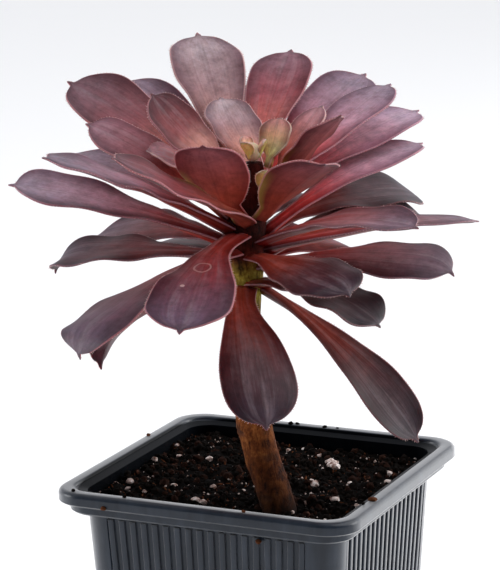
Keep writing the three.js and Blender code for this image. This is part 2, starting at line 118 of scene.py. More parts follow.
# Each leaf: tint, how light it is within its tint, place on the spiral, aim in plan, length, width, rise
# at the foot, bend over its length, curl of its last quarter, roll about its midrib and cup of its
# margins, in mm and degrees.
LEAVES = [
    ("dark", 0.74, 3, 116, 56, 22, 0, -34, 0, 0, 10),
    ("dark", 0.8, 5, 346, 60, 15, -32, -26, 0, 40, 20),
    ("dark", 1.8, 6, 138, 68, 12, -10, -36, -60, 0, 24),
    ("dark", 1.23, 7, 284, 50, 20.5, -8, -62, 0, 0, -12),
    ("dark", 0.76, 10, 330, 40, 25, 10, -46, 0, 0, 10),
    ("dark", 0.74, 11, 100, 58, 22, 0, -36, 0, 0, 10),
    ("ember", 1.68, 16, 60, 50, 22, 8, -24, 0, 14, 10),
    ("smoke", 0.83, 18, 344, 55, 22, 14, -22, -60, 14, -14),
    ("smoke", 0.71, 19, 122, 54, 22, 4, -22, 0, 0, 10),
    ("dark", 1.7, 21, 36, 58, 20, 21, -34, -20, 18, 10),
    ("smoke", 0.76, 22, 158, 54, 22, 3.6, -15, -80, -10, 10),
    ("dark", 1.54, 23, 312, 38, 20, 3, -16, -50, 14, -12),
    ("smoke", 0.87, 24, 62, 60, 22, 26, -48, 0, 0, 10),
    ("wine", 0.87, 25, 226, 63, 27, -3.6, -20, -100, 12, -10),
    ("smoke", 1.25, 26, 28, 66, 15, 12, -22, 0, 0, 10),
    ("smoke", 0.96, 27, 137, 55, 22, 7, -26, 0, -18, 10),
    ("dark", 0.95, 29, 34, 62, 21, 20, -31, -40, 16, 10),
    ("mauve", 0.93, 30, 183, 61, 22, 24.5, -16, 0, -14, 14),
    ("smoke", 1.4, 31, 325, 50, 18, 24, -30, 0, 8, 20),
    ("mauve", 0.71, 32, 95, 60, 22, 18, -20, 0, 0, 10),
    ("spotted", 1.06, 33, 258, 56, 23, -6, -18, 0, 0, 8),
    ("mauve", 1.48, 34, 30, 54, 20, 35, -28, 0, 2, 10),
    ("mauve", 0.92, 35, 139, 60, 22, 24, -18, 0, 0, 10),
    ("mauve", 0.71, 37, 58, 63, 21, 23, -12, 0, 0, 10),
    ("mauve", 0.64, 38, 206, 59, 18, 31, -14, 0, -10, 10),
    ("mauve", 1, 40, 130, 60, 21, 43.5, -20, 0, -6, 14),
    ("cup", 0.74, 41, 213, 55, 18, 23, 6, 0, -18, 14),
    ("mauve", 1.66, 42, 38, 61.5, 20, 33, -24, 0, 6, 10),
    ("rose", 1.29, 43, 166, 46, 16.6, 42, -20, 0, -21, 12),
    ("cup", 0.98, 44, 305, 32, 19, 44, -22, 0, -10, 26),
    ("mauve", 0.71, 45, 88, 58, 21, 36, -18, 0, 0, 14),
    ("cup", 1.61, 46, 254, 30, 19.8, 46, 0, 0, 0, 12),
    ("rose", 0.77, 48, 155.5, 60, 22, 38.8, -16, 0, -24, 14),
    ("mauve", 1.17, 50, 50, 58, 19.6, 37, -17, 0, 14, 14),
    ("cup", 0.96, 52, 318, 35, 14, 53, -16, 0, 0, 14),
    ("pale", 1, 53, 103, 61.5, 21, 47, -18, 0, 0, 14),
    ("mauve", 1.19, 55, 47, 54, 16, 31, -11, 0, 4, 14),
    ("young", 1.98, 56, 194, 26, 15, 32, -14, 0, -14, 14),
    ("green", 1.27, 57, 292, 6, 4.6, 72, -10, 0, 0, 24),
    ("rose", 1.19, 58, 73, 52, 18, 46, -20, 0, 0, 14),
    ("green", 1.27, 59, 236, 5, 4.2, 50, -6, 0, 0, 24),
    ("young", 0.88, 60, 42, 26, 10.5, 54, -16, 0, 0, 14),
    ("plum", 1.02, 64, 166, 32, 18, 30, 26, 0, -20, 16),
    ("pale", 1.05, 66, 124, 24, 16.5, 38, 12, 0, 0, 14),
    ("green", 1.19, 68, 56, 13, 10, 70, -10, 0, 0, 20),
]
LEAF_WIDEST = 0.77
YOUNG_WIDEST = 0.67
LEAF_NECK = 0.13
LEAF_ROUND_END = 0.967
NECK_WIDTH_SHARE = 0.3
YOUNG_NECK_SHARE = 0.42
FOOT_FLARE_SHARE = 0.02
FOOT_THICKNESS = 2.4
YOUNG_FOOT_THICKNESS = 1.8
TIP_THICKNESS = 1.1
MARGIN_THICKNESS = 0.6
MIDRIB_STEPS = 60
SWERVE_END = 0.45
ROLL_END = 0.35
CURL_START = 0.75
FOOT_CUP_SHARE = 0.4
FOOT_GAP = 0.5
YOUNG_LENGTH = 31
FULL_LENGTH = 60
FULL_WIDTH = 22
YOUNG_FULLNESS = 0.65
FULL_GROWN_FULLNESS = 2.3
FOOT_ROOTED = 1.3
# A blade's rings lie evenly up to this share of its length, then closer together towards the tip.
BODY_SHARE = 0.78
BODY_STATIONS = 32
END_STATIONS = 24
COLUMNS = 15
MARGIN_REACH = 0.25
# How far a point counts as upper face: above, at the margin and below.
UPPER_SHARES = {1: 1.0, 0: 0.8, -1: 0.0}

# The heart's youngest leaves, as above, but each starts with its turn round the bud.
HEART_LEAVES = [
    (236, 236, 5, 4, 62, -14, 0, 0, 30),
    (128, 128, 5.5, 4.4, 66, -14, 0, 0, 30),
    (4, 4, 5, 4, 66, -14, 0, 0, 30),
]
BUD_RADIUS = 2.2
BUD_STRETCH = 1.2
BUD_STEPS = 16
BUD_SIDES = 24
HEART_TONE = 1.5
HEART_ROOTED = 0.3

# Tints of the leaves: the upper face's tip, middle and base, then the underside's tip and base,
# the margin, the roughness and the strength of the gloss.
TINTS = {
    "pale": ("#c2acb2", "#b68e92", "#e4a090", "#8a5c5e", "#9a4234", "#dcb8b8", 0.5, 0.14),
    "rose": ("#926874", "#ac5a62", "#ec8474", "#7c5058", "#94402e", "#d09ea4", 0.5, 0.14),
    "mauve": ("#a892a4", "#ca94a6", "#d04240", "#86606a", "#b4382c", "#c49aa6", 0.5, 0.15),
    "plum": ("#62323a", "#904a4c", "#e0a292", "#6a3e42", "#8e3c2c", "#c8969e", 0.55, 0.1),
    "cup": ("#7c4a54", "#a24a4e", "#bc5438", "#884e54", "#a44636", "#c88e94", 0.48, 0.14),
    "young": ("#dca4ac", "#f09a98", "#fc8c88", "#9a6262", "#b85a48", "#ecccc8", 0.5, 0.14),
    "green": ("#e4aca2", "#fccca2", "#fcffb8", "#ece89c", "#f8f890", "#f2dcd0", 0.5, 0.14),
    "wine": ("#6e566a", "#7c3e4a", "#b0362c", "#6a3a44", "#8e2c24", "#bc848c", 0.45, 0.18),
    "smoke": ("#6c5462", "#884c50", "#a4322c", "#5c3438", "#7c1612", "#9a808a", 0.45, 0.1),
    "ember": ("#764850", "#b44e42", "#a83228", "#683232", "#8a241c", "#a07a7e", 0.5, 0.08),
    "dark": ("#40303a", "#5c2c30", "#ac4432", "#46242c", "#7a1e16", "#846468", 0.4, 0.2),
}
TINTS["spotted"] = TINTS["wine"]
# Marks on the spotted leaf: place across and along it, reach across and along, inner edge as a share of
# the reach and strength; the first is a pale ring, the second a healed scratch.
LEAF_MARKS = [(0.527, 0.433, 0.17, 0.05, 0.8, 0.3), (0.67, 0.623, 0.03, 0.01, 0, 0.6)]


def mix(a, b, share):
    return a + (b - a) * share


def clamp01(value):
    return min(1.0, max(0.0, value))


def smooth(value):
    value = clamp01(value)
    return value * value * (3 - 2 * value)


def along(pairs, key):
    """A value read off a list of (key, value) pairs, straight between them."""
    if key <= pairs[0][0]:
        return pairs[0][1]
    for (k0, v0), (k1, v1) in zip(pairs, pairs[1:]):
        if key <= k1:
            return mix(v0, v1, (key - k0) / (k1 - k0))
    return pairs[-1][1]


def colour(hex_code):
    """An sRGB hex value as linear red, green, blue and alpha."""
    channels = [int(hex_code[i:i + 2], 16) / 255 for i in (1, 3, 5)]
    linear = [c / 12.92 if c <= 0.04045 else ((c + 0.055) / 1.055) ** 2.4 for c in channels]
    return (*linear, 1.0)


def scale_for(millimetres):
    """A pattern's scale in Object coordinates, from how far apart its features lie on the real thing."""
    return 1 / (millimetres * MM)


# Nodes


def feed(node, values):
    """Gives inputs a value each, or a link from a socket or from the first live output of a node."""
    for key, value in values.items():
        if isinstance(value, bpy.types.Node):
            value = next(socket for socket in value.outputs if socket.enabled)
        if isinstance(value, bpy.types.NodeSocket):
            node.id_data.links.new(value, node.inputs[key])
        else:
            node.inputs[key].default_value = value


def add(tree, kind, into=None, stops=(), **settings):
    """Adds a node with its settings and inputs; a colour ramp also has stops of place and hex colour.
    A shader node's kind is given without its first words."""
    node = tree.nodes.new(kind if "Node" in kind else "ShaderNode" + kind)
    for name, value in settings.items():
        setattr(node, name, value)
    feed(node, into or {})
    for count, (position, code) in enumerate(stops):
        elements = node.color_ramp.elements
        if count >= 2:
            elements.new(position)
        elements[count].position = position
        elements[count].color = colour(code)
    return node


def layered(tree, tint, layers):
    """Lays colours over a tint, one after another, each with its way of mixing and its strength."""
    for mixing, strength, over in layers:
        tint = add(tree, "Mix", {0: strength, 6: tint, 7: over}, data_type="RGBA", blend_type=mixing)
    return tint


def new_tree(name, **inputs):
    """An empty Geometry Nodes tree, and what its named inputs give; their names go by kind of socket."""
    tree = bpy.data.node_groups.new(name, "GeometryNodeTree")
    tree.interface.new_socket("Geometry", in_out="INPUT", socket_type="NodeSocketGeometry")
    for kind, labels in inputs.items():
        for label in labels:
            tree.interface.new_socket(label, in_out="INPUT", socket_type="NodeSocket" + kind)
    tree.interface.new_socket("Geometry", in_out="OUTPUT", socket_type="NodeSocketGeometry")
    return tree, tree.nodes.new("NodeGroupInput").outputs


def end_tree(tree, geometry, material):
    """Realizes the instances, gives them their material and closes the tree."""
    real = add(tree, "GeometryNodeRealizeInstances", {0: geometry})
    dressed = add(tree, "GeometryNodeSetMaterial", {"Geometry": real, "Material": material})
    add(tree, "NodeGroupOutput", {0: dressed})
    return tree


def grow_nodes(carrier, tree, values, name):
    """Runs a Geometry Nodes tree on a carrier and returns the result as a plain object."""
    modifier = carrier.modifiers.new(tree.name, "NODES")
    modifier.node_group = tree
    sockets = {item.name: item.identifier for item in tree.interface.items_tree if item.in_out == "INPUT"}
    for key, value in values.items():
        modifier[sockets[key]] = value
    mesh = evaluated_mesh(carrier)
    carrier.modifiers.remove(modifier)
    if not len(mesh.polygons):
        raise RuntimeError(f"the nodes of {name} made nothing")
    return placed(name, mesh)


# Meshes


def placed(name, data):
    """A new object in the scene."""
    piece = bpy.data.objects.new(name, data)
    bpy.context.scene.collection.objects.link(piece)
    return piece


def evaluated_mesh(piece):
    depsgraph = bpy.context.evaluated_depsgraph_get()
    return bpy.data.meshes.new_from_object(piece.evaluated_get(depsgraph), depsgraph=depsgraph)


def mesh_piece(name, points, faces, material=None):
    """A smooth-shaded object from points in millimetres."""
    mesh = bpy.data.meshes.new(name)
    mesh.from_pydata([Vector(p) * MM for p in points], [], faces)
    if material:
        mesh.materials.append(material)
    mesh.shade_smooth()
    return placed(name, mesh)


def mark(piece, name, kind, values, field="value"):
    """Stores one value a point on a piece."""
    piece.data.attributes.new(name, kind, "POINT").data.foreach_set(field, values)


def circle(centre, radius, height, count, start=0.0):
    """Points evenly spaced round a level circle."""
    turns = [(i + start) / count * math.tau for i in range(count)]
    return [Vector((centre.x + radius * math.cos(turn), centre.y + radius * math.sin(turn), height))
            for turn in turns]


def skin(rings):
    """Points and faces of a closed skin over rings of equally many points, with a fan at each end."""
    count = len(rings[0])
    points = [p for ring in rings for p in ring]
    faces = []
    for r in range(len(rings) - 1):
        for i in range(count):
            a = r * count + i
            b = r * count + (i + 1) % count
            faces.append((a, b, b + count, a + count))
    last = (len(rings) - 1) * count
    for ring, start, outward in ((rings[0], 0, False), (rings[-1], last, True)):
        hub = len(points)
        points.append(sum(ring, Vector()) / count)
        for i in range(count):
            a = start + i
            b = start + (i + 1) % count
            faces.append((a, b, hub) if outward else (b, a, hub))
    return points, faces


def fuse(pieces):
    """Joins objects into the first one."""
    with bpy.context.temp_override(active_object=pieces[0], object=pieces[0], selected_objects=pieces,
                                   selected_editable_objects=pieces):
        bpy.ops.object.join()
    return pieces[0]


# Materials


def surface(name, roughness, specular):
    material = bpy.data.materials.new(name)
    material.use_nodes = True
    tree = material.node_tree
    tree.nodes.clear()
    shader = add(tree, "BsdfPrincipled", {"Roughness": roughness, "Specular IOR Level": specular})
    add(tree, "OutputMaterial", {"Surface": shader})
    return material, tree, shader


def moulded_polypropylene(body, dusty):
    """Rigid polypropylene, injection moulded with a fine satin texture and handled with dusty hands:
    a dark blue-grey with soft highlights, paler chalky patches and, inside the mouth, painted shade: a near
    black without gloss or sheen."""
    material, tree, shader = surface("moulded_polypropylene", 0.26, 0.5)
    place = add(tree, "TexCoord").outputs["Object"]
    axes = add(tree, "SeparateXYZ", {0: place}).outputs
    patches = add(tree, "TexNoise", {"Vector": place, "Scale": scale_for(18), "Detail": 6, "Roughness": 0.65})
    streaks = add(tree, "Mapping", {"Vector": place, "Scale": (1, 1, 0.12)})
    runs = add(tree, "TexNoise", {"Vector": streaks, "Scale": scale_for(3.8), "Detail": 3})
    both = add(tree, "Math", {0: patches, 1: runs}, operation="MULTIPLY")
    dust = add(tree, "MapRange", {"Value": both, 1: 0.16, 2: 0.42, 3: 0, 4: 0.55})
    # How far out a point lies is measured in squares with rounded corners, like the pot's mouth.
    powers = []
    for axis in axes[:2]:
        millimetres = add(tree, "Math", {0: axis, 1: 1 / MM}, operation="MULTIPLY")
        powers.append(add(tree, "Math", {0: millimetres, 1: SQUARENESS}, operation="POWER"))
    total = add(tree, "Math", {0: powers[0], 1: powers[1]}, operation="ADD")
    out = add(tree, "Math", {0: total, 1: 1 / SQUARENESS}, operation="POWER")
    # Painted shade: inside the mouth, above the wall's top, the inner walls are mixed to near black, standing
    # in for the shadow there.
    mouth = RIM_SIDE / 2 - RIM_TOP_WIDTH + 0.3
    within = add(tree, "MapRange", {"Value": out, 1: mouth, 2: mouth + 0.5, 3: 0.92, 4: 0})
    above = add(tree, "Math", {0: axes[2], 1: (WALL_TOP + 0.9) * MM}, operation="GREATER_THAN")
    inside = add(tree, "Math", {0: within, 1: above}, operation="MULTIPLY")
    plastic = layered(tree, colour(body), [("MIX", dust, colour(dusty)), ("MIX", inside, colour("#030406"))])
    # The painted shade also takes away the gloss and the sheen on the inner walls.
    gloss, sheen = [add(tree, "MapRange", {"Value": inside, 3: outside_value, 4: painted_shade_value})
                    for outside_value, painted_shade_value in ((0.35, 0.01), (0.8, 0))]
    # The real texture lies about 0.1 mm apart, too fine to show, so it is drawn coarser.
    grain = add(tree, "TexNoise", {"Vector": place, "Scale": scale_for(0.55), "Detail": 2})
    bump = add(tree, "Bump", {"Strength": 0.12, "Distance": 0.2 * MM, "Height": grain})
    feed(shader, {"Base Color": plastic, "Specular IOR Level": gloss, "Sheen Weight": sheen,
                  "Sheen Roughness": 0.35, "Normal": bump})
    return material


def damp_peat(name, dark, light, roughness=0.95):
    """Milled sphagnum peat, moist and loose: near black with brown fibres, no shine."""
    material, tree, shader = surface(name, roughness, 0.06)
    place = add(tree, "TexCoord").outputs["Object"]
    specks = add(tree, "TexNoise", {"Vector": place, "Scale": scale_for(2.4), "Detail": 8, "Roughness": 0.7})
    tint = add(tree, "ValToRGB", {"Fac": specks}, [(0.35, dark), (0.58, dark), (0.74, light)])
    bump = add(tree, "Bump", {"Strength": 0.9, "Distance": 0.8 * MM, "Height": specks})
    feed(shader, {"Base Color": tint, "Normal": bump})
    return material


def expanded_perlite():
    """Perlite, volcanic glass puffed by heat: white, chalky grains stained here and there by the peat."""
    material, tree, shader = surface("expanded_perlite", 0.85, 0.3)
    place = add(tree, "TexCoord").outputs["Object"]
    stain = add(tree, "TexNoise", {"Vector": place, "Scale": scale_for(1.4), "Detail": 4})
    feed(shader, {"Base Color": add(tree, "ValToRGB", {"Fac": stain}, [
        (0.36, "#6a4c40"), (0.5, "#c8b4ac"), (0.64, "#ece4e0")])})
    return material


def succulent_bark():
    """The corky skin of an old aeonium stem: warm brown with darker scars where leaves have dropped and
    fine lengthwise flakes, green and paler high up, dark red among the leaves."""
    material, tree, shader = surface("corky_stem_bark", 0.8, 0.1)
    place = add(tree, "TexCoord").outputs["Object"]
    height = add(tree, "SeparateXYZ", {0: place}).outputs[2]
    rise = add(tree, "MapRange", {"Value": height, 1: SOIL_LEVEL * MM, 2: STEM_TOP * MM})
    base = add(tree, "ValToRGB", {"Fac": rise}, [
        (0.0, "#38200e"), (0.14, "#7c4820"), (0.3, "#c07c44"), (0.55, "#bc7c3c"), (0.62, "#dce068"),
        (0.68, "#d0c858"), (0.73, "#7c2a1e"), (0.8, "#4a1814"), (1.0, "#561c18")])
    mottle = add(tree, "TexNoise", {"Vector": place, "Scale": scale_for(4.2), "Detail": 8, "Roughness": 0.7})
    mottled = add(tree, "ValToRGB", {"Fac": mottle}, [(0.36, "#34200f"), (0.5, "#ac9480"), (0.64, "#ffffff")])
    lengthwise = add(tree, "Mapping", {"Vector": place, "Scale": (1, 1, 0.35)})
    flakes = add(tree, "TexNoise", {"Vector": lengthwise, "Scale": scale_for(1.4), "Detail": 6,
                                    "Roughness": 0.7})
    flaked = add(tree, "ValToRGB", {"Fac": flakes}, [(0.36, "#4a3020"), (0.47, "#d8c8b8"), (0.62, "#ffffff")])
    scars = add(tree, "Attribute", attribute_name="scar").outputs["Fac"]
    bark = layered(tree, base, [("MULTIPLY", 0.85, mottled), ("MULTIPLY", 0.85, flaked),
                                ("MIX", scars, colour("#2e1a12"))])
    bump = add(tree, "Bump", {"Strength": 0.9, "Distance": 0.8 * MM, "Height": flakes})
    feed(shader, {"Base Color": bark, "Normal": bump})
    return material


def leaf_marks(tree, chart):
    """Layers for the spotted leaf's marks, each an oval or a ring on the leaf's chart."""
    layers = []
    for u, t, across, lengthwise, inner, strength in LEAF_MARKS:
        offset = add(tree, "VectorMath", {0: chart, 1: (u, t, 0)}, operation="SUBTRACT")
        reach = (1 / across, 1 / lengthwise, 0)
        scaled = add(tree, "VectorMath", {0: offset, 1: reach}, operation="MULTIPLY")
        away = add(tree, "VectorMath", {0: scaled}, operation="LENGTH")
        oval = add(tree, "Math", {0: away, 1: (1 + inner) / 2, 2: (1 - inner) / 2}, operation="COMPARE")
        mark_strength = add(tree, "Math", {0: oval, 1: strength}, operation="MULTIPLY")
        layers.append(("MIX", mark_strength, colour("#d0b0ac")))
    return layers


def olive_edge(tree, along_blade, across):
    """A layer for the cup-shaped leaves: an olive edge low on one side, where little light gets in."""
    low = add(tree, "MapRange", {"Value": along_blade, 1: 0.4, 2: 0.62, 3: 0.7, 4: 0})
    beside = add(tree, "MapRange", {"Value": across, 1: 0.34, 2: 0.48, 3: 0, 4: 1})
    olive = add(tree, "Math", {0: low, 1: beside}, operation="MULTIPLY")
    return [("MIX", olive, colour("#9a8440"))]


def leaf_flesh(tint):
    """Waxy aeonium leaf, filled with water: red at the base where it is shaded, purple-brown or mauve
    with a grey bloom towards the tip, a redder underside and a pale, thin margin."""
    tip, middle, base, under_tip, under_base, margin, roughness, gloss = TINTS[tint]
    material, tree, shader = surface(f"aeonium_leaf_{tint}", roughness, gloss)
    place = add(tree, "TexCoord").outputs["Object"]
    chart = add(tree, "UVMap", uv_map="leaf")
    u, t = add(tree, "SeparateXYZ", {0: chart}).outputs[:2]
    across = add(tree, "Math", {0: u, 1: 0.5}, operation="SUBTRACT")
    out = add(tree, "Math", {0: across}, operation="ABSOLUTE")
    side = add(tree, "Attribute", attribute_name="upper").outputs["Fac"]
    tone = add(tree, "Attribute", attribute_name="tone").outputs["Fac"]
    # The colours wander a little along the blade.
    patches = add(tree, "TexNoise", {"Vector": place, "Scale": scale_for(11), "Detail": 5, "Roughness": 0.6})
    wander = add(tree, "Math", {0: patches, 1: 0.22, 2: t}, operation="MULTIPLY_ADD")
    upper = add(tree, "ValToRGB", {"Fac": wander}, [(0.36, base), (0.7, middle), (1.0, tip)])
    under = add(tree, "ValToRGB", {"Fac": wander}, [(0.4, under_base), (1.0, under_tip)])
    # Veins and the bloom's streaks run along the blade, so they are counted on the leaf's own chart.
    lines = add(tree, "Mapping", {"Vector": chart, "Scale": (FULL_WIDTH / 0.85, FULL_LENGTH / 43, 1)})
    veins = add(tree, "TexNoise", {"Vector": lines, "Scale": 1, "Detail": 3})
    veined = add(tree, "ValToRGB", {"Fac": veins}, [(0.3, "#c8bebc"), (0.7, "#ffffff")])
    broad = add(tree, "Mapping", {"Vector": chart, "Scale": (FULL_WIDTH / 4.4, FULL_LENGTH / 37, 1)})
    streaks = add(tree, "TexNoise", {"Vector": broad, "Scale": 1, "Detail": 5, "Roughness": 0.65})
    bloom = add(tree, "MapRange", {"Value": streaks, 1: 0.46, 2: 0.7, 3: 0, 4: 0.3})
    waxed = add(tree, "Math", {0: bloom, 1: side}, operation="MULTIPLY")
    # The skin's cells are under 0.1 mm, too fine to show, so only their coarser mottling is drawn.
    blotch = add(tree, "TexNoise", {"Vector": place, "Scale": scale_for(3.8), "Detail": 6,
                                    "Roughness": 0.75})
    blotched = add(tree, "ValToRGB", {"Fac": blotch}, [(0.34, "#988a8c"), (0.62, "#ffffff")])
    rim = add(tree, "MapRange", {"Value": out, 1: 0.22, 2: 0.47, 3: 0, 4: 0.7})
    rib = add(tree, "MapRange", {"Value": out, 1: 0.006, 2: 0.03, 3: 0.13, 4: 0})
    layers = [("MIX", side, upper), ("MULTIPLY", 0.45, veined), ("MIX", waxed, colour("#a8989e")),
              ("MULTIPLY", 0.6, blotched), ("MULTIPLY", rim, colour("#846478")),
              ("MULTIPLY", rib, colour("#6a4448"))]
    if tint == "spotted":
        layers += leaf_marks(tree, chart)
    if tint == "cup":
        layers += olive_edge(tree, t, across)
    flesh = add(tree, "HueSaturation", {"Value": tone, "Color": layered(tree, under, layers)})
    point = add(tree, "MapRange", {"Value": t, 1: 0.93, 2: 0.99, 3: 0, 4: 0.6})
    edge = add(tree, "MapRange", {"Value": out, 1: 0.488, 2: 0.5, 3: 0, 4: 0.5})
    flesh = layered(tree, flesh, [("MIX", point, colour("#40343c")), ("MIX", edge, colour(margin))])
    bump = add(tree, "Bump", {"Strength": 0.25, "Distance": 0.3 * MM, "Height": veins})
    pores = add(tree, "Bump", {"Strength": 0.18, "Distance": 0.2 * MM, "Height": blotch, "Normal": bump})
    feed(shader, {"Base Color": flesh, "Normal": pores, "Subsurface Weight": 0.3,
                  "Subsurface Radius": (1, 0.25, 0.15), "Subsurface Scale": 2.5 * MM})
    return material


def margin_cilia():
    """The glassy hairs along a leaf's margin: pale pink, they catch the light as a dotted line."""
    material, tree, shader = surface("glassy_margin_hair", 0.5, 0.4)
    feed(shader, {"Base Color": colour("#d8b6b2")})
    return material


# Pot


def wall_half(height):
    return mix(BASE_SIDE / 2, RIM_SIDE / 2 - WALL_TOP_INSET, height / WALL_TOP)


def wall_radius(height):
    return mix(BASE_CORNER_RADIUS, RIM_CORNER_RADIUS - 1, height / WALL_TOP)


def panel_half(height):
    """Half the breadth of a wall's ribbed panel, between the plain corner posts."""
    half = wall_half(height)
    return half - POST_WIDTH * half / wall_half(WALL_TOP)


def pot_ring(half, radius, height, recess=0.0, panel=None, corner_steps=10):
    """A rounded square, with the middle of each side set back by the recess between two posts."""
    panel = min(half - POST_WIDTH if panel is None else panel, half - radius - 1)
    ring = []
    for side in range(4):
        turn = side * math.pi / 2

        def place(out, across):
            ring.append(Vector((out * math.cos(turn) - across * math.sin(turn),
                                out * math.sin(turn) + across * math.cos(turn), height)))
        place(half, -panel - PANEL_SLOPE)
        place(half - recess, -panel)
        place(half - recess, panel)
        place(half, panel + PANEL_SLOPE)
        for step in range(corner_steps + 1):
            angle = step / corner_steps * math.pi / 2
            place(half - radius + radius * math.cos(angle), half - radius + radius * math.sin(angle))
    return ring


def pot_skin(recess, corner):
    """The pot from its foot up the ribbed wall, over the rim and down the inside to the floor."""
    rings = []

    def wall(height, depth=0.0, shrink=0.0, out=0.0):
        rings.append(pot_ring(wall_half(height) + out, wall_radius(height), height, depth,
                              panel_half(height) - shrink))
    for height, out in FOOT_EDGE:
        wall(height, out=out)
    # A quarter round at each corner of the panel: how far along it, and how far in.
    arc = [(corner * i / 5, corner * (1 - math.sqrt(1 - (1 - i / 5) ** 2))) for i in range(6)]
    wall(PANEL_BOTTOM, 0, corner)
    for rise, inset in arc:
        wall(PANEL_BOTTOM + PANEL_LIP + rise, recess, inset)
    for rise, inset in reversed(arc):
        wall(PANEL_TOP - PANEL_LIP - rise, recess, inset)
    wall(PANEL_TOP, 0, corner)
    wall(WALL_TOP)
    rim = RIM_SIDE / 2
    step = rim - STEP_INSET
    flange = WALL_TOP + STEP_HEIGHT
    # The step's and the flange's edges, each with a small chamfer.
    for half, radius, height in (
            (step - 0.5, RIM_CORNER_RADIUS - 1, WALL_TOP + 0.25),
            (step, RIM_CORNER_RADIUS - 1, WALL_TOP + 0.8),
            (step, RIM_CORNER_RADIUS - 1, flange - 0.2), (step + 0.4, RIM_CORNER_RADIUS - 1, flange),
            (rim - 0.5, RIM_CORNER_RADIUS, flange), (rim, RIM_CORNER_RADIUS, flange + 0.5)):
        rings.append(pot_ring(half, radius, height))
    for i in range(7):
        angle = i / 6 * math.pi / 2
        drop = RIM_ROUNDING * (1 - math.cos(angle))
        rings.append(pot_ring(rim - drop, RIM_CORNER_RADIUS - drop / 2,
                              POT_HEIGHT - RIM_ROUNDING * (1 - math.sin(angle))))
    for i in range(5):
        angle = i / 4 * math.pi / 2
        rings.append(pot_ring(rim - RIM_TOP_WIDTH + MOUTH_ROUNDING * (1 - math.sin(angle)),
                              RIM_CORNER_RADIUS - MOUTH_CORNER_INSET,
                              POT_HEIGHT - 0.05 - MOUTH_ROUNDING * (1 - math.cos(angle))))
    lower = wall_half(LEDGE_HEIGHT) - WALL_THICKNESS
    radius = wall_radius(LEDGE_HEIGHT) - WALL_THICKNESS
    for half, corner_radius, height in (
            (lower + LEDGE_WIDTH, radius + 1, POT_HEIGHT - 2 * MOUTH_ROUNDING),
            (lower + LEDGE_WIDTH, radius + 1, LEDGE_HEIGHT + 0.5), (lower, radius, LEDGE_HEIGHT),
            (wall_half(FLOOR_THICKNESS) - WALL_THICKNESS, BASE_CORNER_RADIUS - WALL_THICKNESS,
             FLOOR_THICKNESS)):
        rings.append(pot_ring(half, corner_radius, height))
    return skin(rings)


def cut_drain_holes(pot, material):
    """Cuts the four drain holes through the floor."""
    bm = bmesh.new()
    for x in (-DRAIN_HOLE_OFFSET, DRAIN_HOLE_OFFSET):
        for y in (-DRAIN_HOLE_OFFSET, DRAIN_HOLE_OFFSET):
            bmesh.ops.create_cone(bm, cap_ends=True, segments=28, radius1=DRAIN_HOLE_RADIUS * MM,
                                  radius2=DRAIN_HOLE_RADIUS * MM, depth=4 * FLOOR_THICKNESS * MM,
                                  matrix=Matrix.Translation((x * MM, y * MM, 0)))
    mesh = bpy.data.meshes.new("drain_cutters")
    bm.to_mesh(mesh)
    bm.free()
    mesh.materials.append(material)
    cutters = placed("drain_cutters", mesh)
    modifier = pot.modifiers.new("drain_holes", "BOOLEAN")
    modifier.operation = "DIFFERENCE"
    modifier.object = cutters
    cut = evaluated_mesh(pot)
    pot.modifiers.remove(modifier)
    pot.data = cut
    bpy.data.objects.remove(cutters)
    cut.shade_smooth()
    cut.set_sharp_from_angle(angle=math.radians(CRISP_EDGE))


